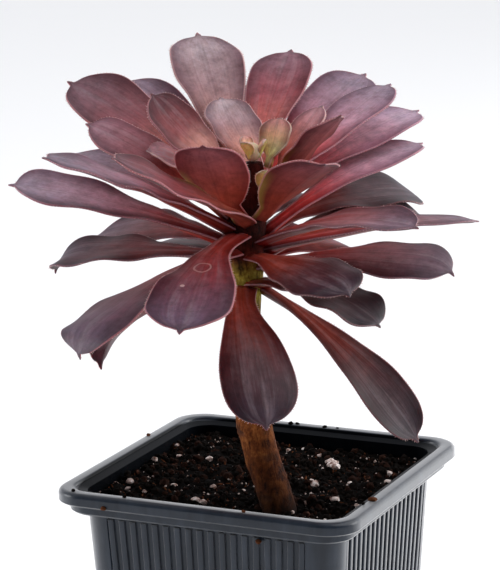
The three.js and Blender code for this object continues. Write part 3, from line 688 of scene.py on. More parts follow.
def rib_tree(material):
    """Ribs that fan with the tapering wall, in a row on each of the four sides."""
    tree, given = new_tree("pot_ribs", Int=["Ribs"], Float=[
        "Top Width", "Bottom Width", "Top Out", "Bottom Out", "Top", "Bottom", "Breadth", "Depth",
        "Rounding"])
    # One upright line a rib: a grid two points high, without its level edges.
    grid = add(tree, "GeometryNodeMeshGrid", {"Size X": 1, "Size Y": 1, "Vertices X": given["Ribs"],
                                              "Vertices Y": 2})
    ends = add(tree, "GeometryNodeInputMeshEdgeVertices").outputs
    first, second = [add(tree, "SeparateXYZ", {0: ends[f"Position {end}"]}).outputs[1] for end in (1, 2)]
    level = add(tree, "FunctionNodeCompare", {"A": first, "B": second, "Epsilon": 0.01}, operation="EQUAL")
    rows = add(tree, "GeometryNodeDeleteGeometry", {"Geometry": grid, "Selection": level}, domain="EDGE",
               mode="EDGE_FACE")
    spot = add(tree, "SeparateXYZ", {0: add(tree, "GeometryNodeInputPosition")}).outputs
    share = add(tree, "Math", {0: spot[1], 1: 0.5}, operation="ADD")
    out, height = [add(tree, "MapRange", {"Value": share, 1: 0, 2: 1, 3: given[low], 4: given[high]})
                   for low, high in (("Bottom Out", "Top Out"), ("Bottom", "Top"))]
    x = add(tree, "Math", {0: spot[0], 1: given["Top Width"]}, operation="MULTIPLY")
    y = add(tree, "Math", {0: out, 1: -1}, operation="MULTIPLY")
    place = add(tree, "CombineXYZ", {0: x, 1: y, 2: height})
    lines = add(tree, "GeometryNodeSetPosition", {"Geometry": rows, "Position": place})
    paths = add(tree, "GeometryNodeMeshToCurve", {"Mesh": lines})
    square = add(tree, "GeometryNodeCurvePrimitiveQuadrilateral", {"Width": given["Breadth"],
                                                                   "Height": given["Depth"]})
    profile = add(tree, "GeometryNodeFilletCurve", {"Curve": square, "Count": 3, "Radius": given["Rounding"]},
                  mode="POLY")
    ribs = add(tree, "GeometryNodeCurveToMesh", {"Curve": paths, "Profile Curve": profile, "Fill Caps": True})
    # The ribs draw together towards the foot.
    point = add(tree, "SeparateXYZ", {0: add(tree, "GeometryNodeInputPosition")}).outputs
    ratio = add(tree, "Math", {0: given["Bottom Width"], 1: given["Top Width"]}, operation="DIVIDE")
    narrow = add(tree, "MapRange", {"Value": point[2], 1: given["Bottom"], 2: given["Top"], 3: ratio, 4: 1})
    fanned = add(tree, "Math", {0: point[0], 1: narrow}, operation="MULTIPLY")
    spread = add(tree, "CombineXYZ", {0: fanned, 1: point[1], 2: point[2]})
    fan = add(tree, "GeometryNodeSetPosition", {"Geometry": ribs, "Position": spread})
    sides = add(tree, "GeometryNodeMeshLine", {"Count": 4, "Offset": (0, 0, 0)})
    side = add(tree, "GeometryNodeInputIndex")
    quarter = add(tree, "Math", {0: side, 1: math.pi / 2}, operation="MULTIPLY")
    turn = add(tree, "CombineXYZ", {2: quarter})
    row = add(tree, "GeometryNodeInstanceOnPoints", {"Points": sides, "Instance": fan, "Rotation": turn})
    return end_tree(tree, row, material)


# Soil


def soil_height(x, y):
    """The peat's surface: slow swells, small clods and a slope up to the pot's left."""
    swell = noise.noise(Vector((x * 0.07, y * 0.07, 3.1)))
    clods = noise.fractal(Vector((x * 0.27, y * 0.27, 7.7)), 1.0, 2.1, 5)
    return SOIL_LEVEL + SOIL_LEFT_SLOPE * max(0, -x) + 0.9 * swell + 1.5 * clods


def soil_ring(half, corner, height):
    """A rounded square whose points lie at even turns round the middle."""
    ring = []
    reach = half - corner
    for i in range(SOIL_SIDES):
        angle = (i + 0.5) / SOIL_SIDES * 2 * math.pi
        c, s = math.cos(angle), math.sin(angle)
        scale = half / max(abs(c), abs(s))
        x, y = c * scale, s * scale
        if abs(x) > reach and abs(y) > reach:
            cx, cy = math.copysign(reach, x), math.copysign(reach, y)
            b = c * cx + s * cy
            scale = b + math.sqrt(max(0, b * b - cx * cx - cy * cy + corner * corner))
            x, y = c * scale, s * scale
        ring.append(Vector((x, y, height)))
    return ring


def soil_skin():
    """The soil: floor, wall, a rough top that runs in to the stem, and the hole for the stem's foot."""
    lower = wall_half(LEDGE_HEIGHT) - WALL_THICKNESS - SEAT_GAP
    radius = wall_radius(LEDGE_HEIGHT) - WALL_THICKNESS
    upper = lower + LEDGE_WIDTH
    rings = [soil_ring(wall_half(FLOOR_THICKNESS) - WALL_THICKNESS - SEAT_GAP,
                       BASE_CORNER_RADIUS - WALL_THICKNESS, FLOOR_THICKNESS + SEAT_GAP),
             soil_ring(lower, radius, LEDGE_HEIGHT + SEAT_GAP),
             soil_ring(upper, radius + 1, LEDGE_HEIGHT + 0.7)]
    rim = soil_ring(upper, radius + 1, SOIL_LEVEL - 0.6)
    rings.append([p + Vector((0, 0, SOIL_LEFT_SLOPE * max(0, -p.x))) for p in rim])
    mouth = circle(stem_axis_at(SOIL_LEVEL), along(STEM_RADII, SOIL_LEVEL) + SEAT_GAP, 0, SOIL_SIDES, 0.5)
    first_top = len(rings)
    for k in range(1, SOIL_RINGS + 1):
        places = [a.lerp(b, 1 - k / SOIL_RINGS) for a, b in zip(mouth, rim)]
        rings.append([Vector((p.x, p.y, soil_height(p.x, p.y))) for p in places])
    last_top = len(rings)
    for height in (SOIL_LEVEL - 4, SOIL_LEVEL - 14, STEM_FOOT - SEAT_GAP):
        centre = stem_axis_at(max(height, STEM_FOOT))
        rings.append(circle(centre, along(STEM_RADII, height) + SEAT_GAP, height, SOIL_SIDES, 0.5))
    points, faces = skin(rings)
    top = [first_top * SOIL_SIDES <= v < last_top * SOIL_SIDES for v in range(len(points))]
    return points, faces, top


def scatter_tree(material):
    """Small broken grains, half sunk in the soil's top, of random size and turn."""
    tree, given = new_tree("soil_scatter", Float=["Density", "Smallest", "Largest"], Vector=["Stretch"],
                           Int=["Seed"])
    top = add(tree, "GeometryNodeInputNamedAttribute", {"Name": "top"}, data_type="BOOLEAN")
    spots = add(tree, "GeometryNodeDistributePointsOnFaces", {
        "Mesh": given["Geometry"], "Selection": top, "Density": given["Density"], "Seed": given["Seed"]})
    grain = add(tree, "GeometryNodeMeshIcoSphere", {"Radius": 1, "Subdivisions": 1})
    shaped = add(tree, "GeometryNodeTransform", {"Geometry": grain, "Scale": given["Stretch"]})
    turn = add(tree, "FunctionNodeRandomValue", {0: (0, 0, 0), 1: (6.28, 6.28, 6.28), "Seed": 3},
               data_type="FLOAT_VECTOR")
    share = add(tree, "FunctionNodeRandomValue", {2: 0.0, 3: 1.0, "Seed": 5}, data_type="FLOAT")
    # Small grains are far more common than large ones.
    skewed = add(tree, "Math", {0: share, 1: 3}, operation="POWER")
    size = add(tree, "MapRange", {"Value": skewed, 1: 0, 2: 1, 3: given["Smallest"], 4: given["Largest"]})
    grains = add(tree, "GeometryNodeInstanceOnPoints", {"Points": spots, "Instance": shaped, "Rotation": turn,
                                                        "Scale": size})
    return end_tree(tree, grains, material)


def broken_grain(centre, size, seed, material, name):
    """One larger grain: a ball with its surface pushed in and out."""
    bm = bmesh.new()
    bmesh.ops.create_icosphere(bm, subdivisions=2, radius=1)
    draw = random.Random(seed)
    stretch = Vector((draw.uniform(0.8, 1.3), draw.uniform(0.7, 1.0), draw.uniform(0.55, 0.85)))
    turn = Quaternion((0, 0, 1), draw.uniform(0, math.tau))
    for vertex in bm.verts:
        push = 1 + 0.35 * noise.noise(vertex.co * 1.6 + Vector((seed * 3.7, 0, 0)))
        p = turn @ Vector([a * b for a, b in zip(vertex.co * push, stretch)])
        vertex.co = (Vector(centre) + p * size) * MM
    mesh = bpy.data.meshes.new(name)
    bm.to_mesh(mesh)
    bm.free()
    mesh.materials.append(material)
    return placed(name, mesh)


# Stem


def centripetal_curve(knots):
    """The same curve through the stem's points as in the part's source, finely sampled."""
    samples = []
    last = len(knots) - 1
    for k in range(last):
        p1, p2 = knots[k], knots[k + 1]
        p0 = knots[k - 1] if k > 0 else 2 * p1 - p2
        p3 = knots[k + 2] if k + 2 <= last else 2 * p2 - p1
        d0, d1, d2 = [math.sqrt(max((b - a).length, 1e-9)) for a, b in ((p0, p1), (p1, p2), (p2, p3))]
        t1 = ((p1 - p0) / d0 - (p2 - p0) / (d0 + d1) + (p2 - p1) / d1) * d1
        t2 = ((p2 - p1) / d1 - (p3 - p1) / (d1 + d2) + (p3 - p2) / d2) * d1
        for step in range(STEM_CURVE_STEPS):
            s = step / STEM_CURVE_STEPS
            samples.append(p1 + t1 * s + (-3 * p1 + 3 * p2 - 2 * t1 - t2) * s * s
                           + (2 * p1 - 2 * p2 + t1 + t2) * s ** 3)
    samples.append(knots[-1])
    return samples


STEM_CURVE = centripetal_curve([Matrix.Rotation(math.radians(PLANT_TURN), 3, "Z") @ Vector(point)
                                for point in STEM_AXIS])


def stem_axis_at(height):
    for a, b in zip(STEM_CURVE, STEM_CURVE[1:]):
        if b.z >= height:
            share = clamp01((height - a.z) / max(b.z - a.z, 1e-9))
            return a.lerp(b, share)
    return STEM_CURVE[-1].copy()


def stem_scars():
    """Turn and height of the scars of dropped leaves, wider apart lower down where the stem is older."""
    scars = []
    height = FIRST_PLACE_HEIGHT - 1.5
    place = 0
    while height > SOIL_LEVEL + 3:
        place -= 1
        height -= PLACE_PITCH * mix(2.2, 7, clamp01((FIRST_PLACE_HEIGHT - height) / 50))
        scars.append((math.radians(FIRST_PLACE_TURN + GOLDEN_ANGLE * place + PLANT_TURN), height))
    return scars


def stem_skin(swell):
    """The stem with scar ridges; also how strongly each point lies in a scar."""
    scars = stem_scars()
    rings, marks = [], []
    steps = int((STEM_TOP - STEM_FOOT) / STEM_RING_PITCH)
    for step in range(steps + 1):
        height = mix(STEM_FOOT, STEM_TOP, step / steps)
        centre = stem_axis_at(height)
        radius = along(STEM_RADII, height)
        near = [(turn, level) for turn, level in scars if abs(level - height) < 4]
        ring = []
        for i in range(STEM_SIDES):
            angle = i / STEM_SIDES * math.tau
            hollow = 0.0
            ridge = 0.0
            for turn, level in near:
                across = math.atan2(math.sin(angle - turn), math.cos(angle - turn)) * radius / SCAR_BREADTH
                up = (height - level) / SCAR_HEIGHT
                away = math.sqrt(across * across + up * up)
                hollow = max(hollow, clamp01(1.15 - away))
                ridge = max(ridge, math.exp(-((away - 1) / 0.3) ** 2))
            spot = Vector((math.cos(angle) * 1.5, math.sin(angle) * 1.5, height * 0.22))
            rough = noise.fractal(spot, 1, 2, 3)
            out = radius + swell * (0.3 * ridge - 0.22 * hollow + 0.18 * rough)
            ring.append(Vector((centre.x + out * math.cos(angle), centre.y + out * math.sin(angle), height)))
            marks.append(0.75 * hollow)
        rings.append(ring)
    points, faces = skin(rings)
    return points, faces, marks + [0.0, 0.0]


# Leaves


def leaf_age(length):
    """How far a leaf has grown up, from its length: 0 for young ones, 1 for the longest."""
    return clamp01((length - YOUNG_LENGTH) / (FULL_LENGTH - YOUNG_LENGTH))


def leaf_half_width(t, length, width):
    """A leaf's half width at a share of its length: foot, neck, widest place, round end and tip."""
    half = width / 2
    age = leaf_age(length)
    neck = mix(YOUNG_NECK_SHARE, NECK_WIDTH_SHARE, age)
    widest = mix(YOUNG_WIDEST, LEAF_WIDEST, age)
    if t < LEAF_NECK:
        return half * mix(neck + FOOT_FLARE_SHARE, neck, max(t, 0) / LEAF_NECK)
    if t < widest:
        fullness = mix(YOUNG_FULLNESS, FULL_GROWN_FULLNESS, age)
        share = math.sin(math.pi / 2 * (t - LEAF_NECK) / (widest - LEAF_NECK)) ** fullness
        return half * mix(neck, 1, share)
    q = (t - widest) / (LEAF_ROUND_END - widest)
    body = half * math.sqrt(max(0, 1 - min(q, 1) ** 2.3))
    point = 0.9 * clamp01((1 - t) / (1 - LEAF_ROUND_END)) ** 0.8 + 0.12
    return max(body, point)


def follow_midrib(foot, foot_turn, aim, length, rise, bend, curl):
    """The midrib, followed outwards in small steps: its points, directions and right sides."""
    swerve = (((aim - foot_turn) % 360) + 540) % 360 - 180
    point = foot.copy()
    midrib = []
    for step in range(MIDRIB_STEPS + 1):
        t = step / MIDRIB_STEPS
        turn = math.radians(foot_turn + PLANT_TURN + swerve * smooth(t / SWERVE_END))
        tip_share = clamp01((t - CURL_START) / (1 - CURL_START))
        climb = math.radians(rise + bend * t + curl * tip_share * tip_share)
        ahead = Vector((math.cos(turn) * math.cos(climb), math.sin(turn) * math.cos(climb), math.sin(climb)))
        midrib.append((point.copy(), ahead, Vector((math.sin(turn), -math.cos(turn), 0))))
        point += ahead * (length / MIDRIB_STEPS)
    return midrib


def leaf_stations():
    """Shares of the length, evenly spaced over the body and closer together towards the round end."""
    body = [i / BODY_STATIONS * BODY_SHARE for i in range(BODY_STATIONS + 1)]
    end = [BODY_SHARE + (1 - BODY_SHARE) * math.sin((i + 1) / END_STATIONS * math.pi / 2)
           for i in range(END_STATIONS)]
    return body + end


def leaf_blade(name, midrib, length, width, roll, cup, seed, flesh, tone, rooted=FOOT_ROOTED):
    """A blade with a channel along its midrib, a keel below, soft waves along the margin and the `leaf`
    chart: across the blade and along it."""
    draw = random.Random(seed)
    phase, waves = draw.uniform(0, math.tau), draw.uniform(2.2, 3.6)
    ripple = 0.028 * width * draw.uniform(0.5, 1.1)
    foot_thickness = mix(YOUNG_FOOT_THICKNESS, FOOT_THICKNESS, leaf_age(length))
    rings, chart, uppers, margins, outwards = [], [], [], [], []
    columns = [math.sin(math.pi / 2 * (2 * i / (COLUMNS - 1) - 1)) for i in range(COLUMNS)]
    for t in leaf_stations():
        low = min(int(t * MIDRIB_STEPS), MIDRIB_STEPS - 1)
        share = t * MIDRIB_STEPS - low
        point, ahead, side = [a.lerp(b, share) for a, b in zip(midrib[low], midrib[low + 1])]
        ahead.normalize()
        side.normalize()
        if t == 0:
            point = point - ahead * rooted
        rolled = Quaternion(ahead, math.radians(roll) * smooth(t / ROLL_END)) @ side
        up = rolled.cross(ahead)
        half = leaf_half_width(t, length, width)
        thick = mix(foot_thickness, TIP_THICKNESS, t)
        thin_end = mix(1, 0.35, clamp01((t - 0.94) / 0.06))
        arc = math.radians(cup) * mix(FOOT_CUP_SHARE, 1, smooth(t / ROLL_END))
        fade = smooth((t - 0.15) / 0.3) * (1 - smooth((t - 0.9) / 0.1))
        groove = 0.42 * (1 - 0.75 * t) * clamp01(half / 3)
        ring = []

        def lay(u, facing, relief=0.0):
            """One point across the blade: facing 1 is above, 0 the margin, -1 below."""
            angle = arc * u
            lift = facing * mix(MARGIN_THICKNESS, thick, 1 - u * u) / 2 * thin_end + relief
            wave = ripple * fade * u * u * math.sin(waves * math.tau * t + phase + (1.3 if u > 0 else 0))
            edge = 0 if facing else MARGIN_REACH * thin_end * u
            ring.append(point + rolled * (half * math.sin(angle) / arc - lift * math.sin(angle) + edge)
                        + up * (half * (1 - math.cos(angle)) / arc + lift * math.cos(angle) + wave))
            chart.append((0.5 + u / 2, t))
            uppers.append(UPPER_SHARES[facing])
            margins.append(facing == 0 and 0.12 < t < 0.985)
            outwards.extend(rolled * u + ahead * (0.2 + 1.5 * smooth((t - 0.85) / 0.15)))
        for u in columns:
            lay(u, 1, -groove * math.exp(-(u / 0.16) ** 2) + 0.2 * groove * math.cos(u * math.pi))
        lay(1, 0)
        for u in reversed(columns):
            keel = 0.5 * (1 - t) * math.exp(-(u / 0.22) ** 2) + 0.15 * math.exp(-(u / 0.12) ** 2)
            lay(u, -1, -keel * clamp01(half / 3))
        lay(-1, 0)
        rings.append(ring)
    piece = mesh_piece(name, *skin(rings), flesh)
    chart += [(0.5, 0), (0.5, 1)]
    layer = piece.data.uv_layers.new(name="leaf")
    for loop in piece.data.loops:
        layer.data[loop.index].uv = chart[loop.vertex_index]
    mark(piece, "upper", "FLOAT", uppers + [0.0, 1.0])
    mark(piece, "margin", "BOOLEAN", margins + [False, False])
    mark(piece, "outward", "FLOAT_VECTOR", outwards + [0, 0, 1] * 2, "vector")
    mark(piece, "tone", "FLOAT", [tone] * len(chart))
    return piece


def cilia_tree(material):
    """Short hairs along a leaf's margin, a little uneven in length and lean."""
    tree, given = new_tree("margin_hairs", Float=["Spacing", "Length", "Radius"], Int=["Seed"])
    margin = add(tree, "GeometryNodeInputNamedAttribute", {"Name": "margin"}, data_type="BOOLEAN")
    outward = add(tree, "GeometryNodeInputNamedAttribute", {"Name": "outward"}, data_type="FLOAT_VECTOR")
    line = add(tree, "GeometryNodeMeshToCurve", {"Mesh": given["Geometry"], "Selection": margin})
    spaced = add(tree, "GeometryNodeResampleCurve", {"Curve": line, "Length": given["Spacing"]},
                 mode="LENGTH")
    hair = add(tree, "GeometryNodeMeshCone", {
        "Vertices": 3, "Radius Top": 0.0, "Radius Bottom": given["Radius"], "Depth": given["Length"]})
    lean = add(tree, "FunctionNodeRandomValue", {0: (-0.45, -0.45, -0.3), 1: (0.45, 0.45, 0.6),
                                                 "Seed": given["Seed"]}, data_type="FLOAT_VECTOR")
    aim = add(tree, "VectorMath", {0: outward, 1: lean}, operation="ADD")
    turn = add(tree, "FunctionNodeAlignRotationToVector", {"Vector": aim}, axis="Z")
    size = add(tree, "FunctionNodeRandomValue", {2: 0.55, 3: 1.25, "Seed": given["Seed"]}, data_type="FLOAT")
    hairs = add(tree, "GeometryNodeInstanceOnPoints", {"Points": spaced, "Instance": hair, "Rotation": turn,
                                                       "Scale": size})
    return end_tree(tree, hairs, material)


def leaf_foot(place, rise):
    """Where a leaf's foot stands on the spiral, and its turn."""
    foot_turn = FIRST_PLACE_TURN + GOLDEN_ANGLE * place
    height = FIRST_PLACE_HEIGHT + PLACE_PITCH * place
    lean = abs(math.sin(math.radians(rise))) * FOOT_THICKNESS / 2
    reach = along(STEM_RADII, height) + FOOT_GAP + lean
    outwards = math.radians(foot_turn + PLANT_TURN)
    foot = stem_axis_at(height) + Vector((reach * math.cos(outwards), reach * math.sin(outwards), 0))
    foot.z = height
    return foot, foot_turn


# Settings


def length_setting(name, description, millimetres):
    return bpy.props.FloatProperty(name=name, description=description, default=millimetres * MM,
                                   subtype="DISTANCE", unit="LENGTH", precision=5)


def number_setting(name, description, default):
    return bpy.props.FloatProperty(name=name, description=description, default=default)


def colour_setting(name, description, default):
    return bpy.props.StringProperty(name=name, description=description, default=default)


class AEONIUM_PotSettings(bpy.types.PropertyGroup):
    """Sizes and colours of the pot."""
    ribs: bpy.props.IntProperty(name="Ribs a side", description="Upright ribs on each wall", default=18)
    rib_breadth: length_setting("Rib breadth", "How broad a rib is at the top", 1.8)
    rib_depth: length_setting("Rib depth", "How far a rib stands out of its panel", 0.68)
    rib_rounding: length_setting("Rib rounding", "Rounding of a rib's long edges", 0.3)
    recess: length_setting("Panel recess", "How deep the ribbed panel is set back", 0.8)
    panel_corner: length_setting("Panel corner", "Rounding of the panel's corners", 1.2)
    body: colour_setting("Body colour", "sRGB hex of the plastic", "#171f2a")
    dust: colour_setting("Dust colour", "sRGB hex of the chalky patches", "#343d4a")


class AEONIUM_SoilSettings(bpy.types.PropertyGroup):
    """What lies in the pot."""
    crumbs: number_setting("Crumbs", "Peat crumbs in a square metre", 330000)
    clods: number_setting("Clods", "Brown clods in a square metre", 110000)
    fibres: number_setting("Fibres", "Bark bits in a square metre", 60000)
    grains: number_setting("Grains", "Perlite grains in a square metre", 95000)
    seed: bpy.props.IntProperty(name="Seed", description="Which random soil is drawn", default=7)


class AEONIUM_StemSettings(bpy.types.PropertyGroup):
    """The bare stem."""
    relief: number_setting("Scar relief", "How strongly scars and bark stand out", 1)


class AEONIUM_LeafSettings(bpy.types.PropertyGroup):
    """The hairs on the leaves' margins."""
    hair_spacing: length_setting("Hair spacing", "Between neighbouring margin hairs", 0.85)
    hair_length: length_setting("Hair length", "Length of a margin hair", 0.5)
    hair_radius: length_setting("Hair radius", "Radius at a hair's foot, drawn coarse enough to show", 0.1)


class AEONIUM_StageSettings(bpy.types.PropertyGroup):
    """Floor, lights and camera."""
    floor: colour_setting("Floor colour", "sRGB hex of the floor", "#f4f4f4")
    sky: number_setting("Sweep light", "Light from the white sweep and above", 0.8)
    room: number_setting("Room light", "Light from the camera's side", 0.08)
    right: number_setting("Right softbox", "Power of the right softbox, in watts", 8)
    left: number_setting("Left softbox", "Power of the left softbox, in watts", 8)
    back: number_setting("Back light", "Power of the soft light behind, in watts", 3)
    card: number_setting("Cards", "Power of each low card beside the pot, in watts", 0.3)
    day: number_setting("Daylight", "Strength of the even light on the whole floor", 1.75)


# Operators


class AEONIUM_OT_pot(bpy.types.Operator):
    """Builds the square nursery pot"""
    bl_idname = "aeonium.pot"
    bl_label = "Pot"

    def execute(self, context):
        settings = context.scene.aeonium_pot
        plastic = moulded_polypropylene(settings.body, settings.dust)
        pot = mesh_piece("nursery_pot", *pot_skin(settings.recess / MM, settings.panel_corner / MM), plastic)
        cut_drain_holes(pot, plastic)
        carrier = mesh_piece("rib_carrier", [(0, 0, 0)], [])
        # Half a rib's room is left free at each end of the row.
        across = 2 * (settings.ribs - 1) / settings.ribs * MM
        ribs = grow_nodes(carrier, rib_tree(plastic), {
            "Ribs": settings.ribs, "Top Width": panel_half(RIB_TOP) * across,
            "Bottom Width": panel_half(RIB_BOTTOM) * across,
            "Top Out": wall_half(RIB_TOP) * MM - settings.recess,
            "Bottom Out": wall_half(RIB_BOTTOM) * MM - settings.recess,
            "Top": RIB_TOP * MM, "Bottom": RIB_BOTTOM * MM, "Breadth": settings.rib_breadth,
            "Depth": 2 * settings.rib_depth, "Rounding": settings.rib_rounding}, "pot_ribs")
        bpy.data.objects.remove(carrier)
        pot = fuse([pot, ribs])
        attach(pot, "root")
        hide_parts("pot")
        return {"FINISHED"}


# Larger pale grains that catch the eye on the soil: across, back and radius in millimetres.
LARGE_GRAINS = [
    (-37, 21, 0.8), (-36, 4, 1.0), (-33, 14, 0.8), (-22, 12, 1.3), (-19, 13, 0.9), (-37, -19, 0.8),
    (-34, -16, 1.3), (-32, -21, 1.0), (-26, -23, 0.9), (-21, -14, 1.4), (-18, -13, 0.9), (-9, -25, 1.5),
    (-6, -26, 1.0), (-11, -9, 1.0), (11, 25, 1.9), (13, 22, 1.6), (15, 19, 1.5), (15, 4, 1.4), (13, 6, 0.8),
    (27, -10, 1.2), (25, -8, 0.8), (-5, 31, 0.9), (-1, 34, 0.9), (31, 20, 1.0), (34, 12, 0.9), (35, -14, 0.9),
    (6, 29, 0.8), (24, 8, 0.8), (20, -24, 0.8), (-14, 24, 0.9), (-24, 28, 0.7), (-2, -8, 0.7),
]
# Crumbs left on the rim and its side: across, back, height, radius and whether it is brown.
RIM_CRUMBS = [
    (-43.4, 15, 88, 0.7, True), (-9, 42.0, 87.8, 0.9, False), (-7, 42.4, 87.8, 0.6, False),
    (2, 42.2, 87.8, 0.7, False), (6, 42.4, 87.9, 0.4, False), (-22, -42.8, 88, 0.6, False),
    (42.6, -21, 88, 1.0, True), (41.4, -25, 88, 0.7, False), (14, -43, 88, 0.6, True),
    (-38, -42.6, 88, 0.6, False), (-27.4, -45.1, 84.6, 0.9, True), (16.4, -39, 78.4, 0.9, True),
]


class AEONIUM_OT_soil(bpy.types.Operator):
    """Builds the peat, its crumbs, fibres and perlite grains"""
    bl_idname = "aeonium.soil"
    bl_label = "Soil"

    def execute(self, context):
        settings = context.scene.aeonium_soil
        peat = damp_peat("damp_milled_peat", "#050302", "#1c100a")
        crumb = damp_peat("peat_crumb", "#0a0604", "#2c180f")
        clod = damp_peat("brown_peat_clod", "#24140e", "#7c5444")
        fibre = damp_peat("bark_fibre", "#54301c", "#a86c44", 0.85)
        perlite = expanded_perlite()
        points, faces, top = soil_skin()
        soil = mesh_piece("potting_soil", points, faces, peat)
        mark(soil, "top", "BOOLEAN", top)
        # Name, material, how many, the smallest and largest radius in millimetres, and the stretch.
        kinds = (("crumbs", crumb, settings.crumbs, 0.3, 1.7, (1, 0.85, 0.8)),
                 ("clods", clod, settings.clods, 0.3, 1.9, (1.2, 0.8, 0.8)),
                 ("fibres", fibre, settings.fibres, 0.22, 0.8, (1.9, 0.5, 0.45)),
                 ("grains", perlite, settings.grains, 0.12, 0.62, (1, 0.9, 0.8)))
        parts = []
        for offset, (name, material, density, smallest, largest, stretch) in enumerate(kinds):
            parts.append(grow_nodes(soil, scatter_tree(material), {
                "Density": density, "Smallest": smallest * MM, "Largest": largest * MM, "Stretch": stretch,
                "Seed": settings.seed + offset}, f"soil_{name}"))
        for number, (x, y, size) in enumerate(LARGE_GRAINS):
            centre = (x, y, soil_height(x, y) + size * 0.35)
            parts.append(broken_grain(centre, size, number, perlite, f"perlite_{number}"))
        soil = fuse([soil, *parts])
        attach(soil, "root")
        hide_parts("soil")
        crumbs = [broken_grain((x, y, height + size * 0.45), size, 50 + number, fibre if brown else crumb,
                               f"rim_crumb_{number}")
                  for number, (x, y, height, size, brown) in enumerate(RIM_CRUMBS)]
        spilled = fuse(crumbs)
        spilled.name = "spilled_crumbs"
        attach(spilled, "root")
        return {"FINISHED"}


class AEONIUM_OT_stem(bpy.types.Operator):
    """Builds the leaning stem with its leaf scars"""
    bl_idname = "aeonium.stem"
    bl_label = "Stem"

    def execute(self, context):
        points, faces, marks = stem_skin(context.scene.aeonium_stem.relief)
        stem = mesh_piece("bare_stem", points, faces, succulent_bark())
        mark(stem, "scar", "FLOAT", marks)
        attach(stem, "root")
        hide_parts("stem")
        return {"FINISHED"}


class AEONIUM_OT_leaves(bpy.types.Operator):
    """Builds every leaf with the hairs along its margin"""
    bl_idname = "aeonium.leaves"
    bl_label = "Leaves"

    def execute(self, context):
        settings = context.scene.aeonium_leaf
        hairs = cilia_tree(margin_cilia())
        flesh = {tint: leaf_flesh(tint) for tint in TINTS}
        for number, leaf in enumerate(LEAVES, 1):
            tint, tone, place, aim, length, width, rise, bend, curl, roll, cup = leaf
            foot, foot_turn = leaf_foot(place, rise)
            midrib = follow_midrib(foot, foot_turn, aim, length, rise, bend, curl)
            blade = leaf_blade(f"blade_{number:02d}", midrib, length, width, roll, cup, number, flesh[tint],
                               tone)
            fringe = grow_nodes(blade, hairs, {
                "Spacing": settings.hair_spacing, "Length": settings.hair_length,
                "Radius": settings.hair_radius, "Seed": number}, f"hairs_{number:02d}")
            leaf = fuse([blade, fringe])
            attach(leaf, "root")
            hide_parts(f"leaf_{number:02d}")
        return {"FINISHED"}


class AEONIUM_OT_heart(bpy.types.Operator):
    """Builds the growing tip with its youngest leaves"""
    bl_idname = "aeonium.heart"
    bl_label = "Heart"

    def execute(self, context):
        flesh = bpy.data.materials["aeonium_leaf_green"]
        centre = stem_axis_at(STEM_TOP)
        centre.z = STEM_TOP + SEAT_GAP
        rings = []
        for step in range(1, BUD_STEPS):
            angle = step / BUD_STEPS * math.pi
            height = centre.z + BUD_RADIUS * BUD_STRETCH * (1 - math.cos(angle))
            rings.append(circle(centre, BUD_RADIUS * math.sin(angle), height, BUD_SIDES))
        bud = mesh_piece("growing_tip", *skin(rings), flesh)
        mark(bud, "tone", "FLOAT", [HEART_TONE] * len(bud.data.vertices))
        parts = []
        for number, (foot_turn, aim, length, width, rise, bend, curl, roll, cup) in enumerate(HEART_LEAVES):
            outwards = math.radians(foot_turn + PLANT_TURN)
            foot = centre + Vector((math.cos(outwards), math.sin(outwards), 0)) * BUD_RADIUS * 0.55
            foot.z += BUD_RADIUS * 0.8
            midrib = follow_midrib(foot, foot_turn, aim, length, rise, bend, curl)
            parts.append(leaf_blade(f"heart_leaf_{number}", midrib, length, width, roll, cup, 90 + number,
                                    flesh, HEART_TONE, HEART_ROOTED))
        heart = fuse([bud, *parts])
        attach(heart, "root")
        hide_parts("heart")
        return {"FINISHED"}


# The photograph's camera: its place in metres, the way it looks, its lean and its lens.
CAMERA_PLACE = (0.2997, -0.6621, 0.3044)
CAMERA_LOOK = (-0.405, 0.8874, -0.2200)
CAMERA_ROLL = -1.053
CAMERA_LENS = 167.4
# The dark room lies on the camera's side, the white sweep behind the plant and at its sides.
ROOM_SIDE = (0.412, -0.911, 0)
# How far the floor reaches from the pot, in millimetres, and what the lights aim at, in metres.
FLOOR_REACH = 4000
PLANT_MIDDLE = Vector((0, 0, 0.12))


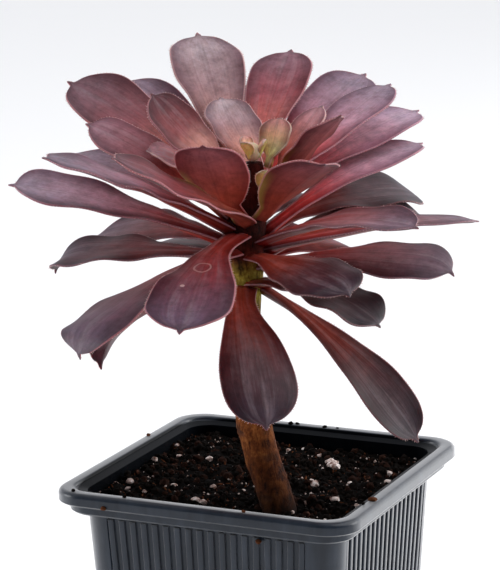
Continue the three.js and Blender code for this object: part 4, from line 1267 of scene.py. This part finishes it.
class AEONIUM_OT_stage(bpy.types.Operator):
    """Sets the floor, the lights and the camera"""
    bl_idname = "aeonium.stage"
    bl_label = "Stage"

    def execute(self, context):
        settings = context.scene.aeonium_stage
        # Matt white board scatters the light evenly, so only soft shadows show on it.
        material, tree, shader = surface("matt_white_board", 0.9, 0.1)
        feed(shader, {"Base Color": colour(settings.floor)})
        corners = [(x * FLOOR_REACH, y * FLOOR_REACH, 0) for x, y in ((-1, -1), (1, -1), (1, 1), (-1, 1))]
        floor = mesh_piece("floor", corners, [(0, 1, 2, 3)], material)
        world = bpy.data.worlds.new("soft_room")
        world.use_nodes = True
        tree = world.node_tree
        facing = add(tree, "TexCoord").outputs["Generated"]
        front = add(tree, "VectorMath", {0: facing, 1: ROOM_SIDE}, operation="DOT_PRODUCT")
        level = add(tree, "MapRange", {"Value": front, 1: -0.05, 2: 0.45, 3: settings.sky, 4: settings.room})
        feed(tree.nodes["Background"], {"Color": colour("#f6f8ff"), "Strength": level})
        context.scene.world = world
        lights = []
        for name, size, power, place in (("right_softbox", 0.7, settings.right, (1.13, 0.64, 0.45)),
                                         ("left_softbox", 0.7, settings.left, (-1.2, -0.5, 0.45)),
                                         ("back_softbox", 0.9, settings.back, (0.54, 1.18, 0.45)),
                                         ("right_card", 0.3, 0.5 * settings.card, (0.12, 0.15, 0.07)),
                                         ("left_card", 0.3, 0.3 * settings.card, (-0.19, -0.02, 0.07))):
            light = bpy.data.lights.new(name, "AREA")
            light.shape = "RECTANGLE"
            light.size = size
            light.size_y = min(size, 2 * place[2])
            light.energy = power
            lights.append((light, place))
        day = bpy.data.lights.new("day", "SUN")
        day.angle = math.radians(70)
        day.energy = settings.day
        lights.append((day, (0.7, 0.3, 1.1)))
        for light, place in lights:
            # A low card shines level onto the pot, every other light onto the plant's middle.
            aim = Vector((0, 0, place[2])) if place[2] < PLANT_MIDDLE.z else PLANT_MIDDLE
            lamp = placed(light.name, light)
            lamp.location = place
            lamp.rotation_euler = (aim - Vector(place)).to_track_quat("-Z", "Y").to_euler()
        lens = bpy.data.cameras.new("photo_camera")
        lens.lens = CAMERA_LENS
        lens.sensor_width = 36
        lens.clip_end = 30
        camera = placed("photo_camera", lens)
        camera.location = CAMERA_PLACE
        straight = Vector(CAMERA_LOOK).to_track_quat("-Z", "Y")
        camera.rotation_mode = "QUATERNION"
        camera.rotation_quaternion = straight @ Quaternion((0, 0, 1), math.radians(CAMERA_ROLL))
        context.scene.camera = camera
        context.scene.view_settings.view_transform = "Standard"
        return {"FINISHED"}


class AEONIUM_PT_panel(bpy.types.Panel):
    """Lists the steps that build the plant"""
    bl_label = "Potted aeonium"
    bl_idname = "AEONIUM_PT_panel"
    bl_space_type = "VIEW_3D"
    bl_region_type = "UI"
    bl_category = "Aeonium"

    def draw(self, context):
        for step in STEPS:
            self.layout.operator(step.bl_idname)


STEPS = (AEONIUM_OT_pot, AEONIUM_OT_soil, AEONIUM_OT_stem, AEONIUM_OT_leaves, AEONIUM_OT_heart,
         AEONIUM_OT_stage)
SETTINGS = (("aeonium_pot", AEONIUM_PotSettings), ("aeonium_soil", AEONIUM_SoilSettings),
            ("aeonium_stem", AEONIUM_StemSettings), ("aeonium_leaf", AEONIUM_LeafSettings),
            ("aeonium_stage", AEONIUM_StageSettings))


def register():
    for name, group in SETTINGS:
        bpy.utils.register_class(group)
        setattr(bpy.types.Scene, name, bpy.props.PointerProperty(type=group))
    for cls in (*STEPS, AEONIUM_PT_panel):
        bpy.utils.register_class(cls)


def unregister():
    for cls in reversed((*STEPS, AEONIUM_PT_panel)):
        bpy.utils.unregister_class(cls)
    for name, group in reversed(SETTINGS):
        delattr(bpy.types.Scene, name)
        bpy.utils.unregister_class(group)


def main():
    register()
    bpy.ops.aeonium.pot()
    bpy.ops.aeonium.soil()
    bpy.ops.aeonium.stem()
    bpy.ops.aeonium.leaves()
    bpy.ops.aeonium.heart()
    bpy.ops.aeonium.stage()


if __name__ == "__main__":
    main()
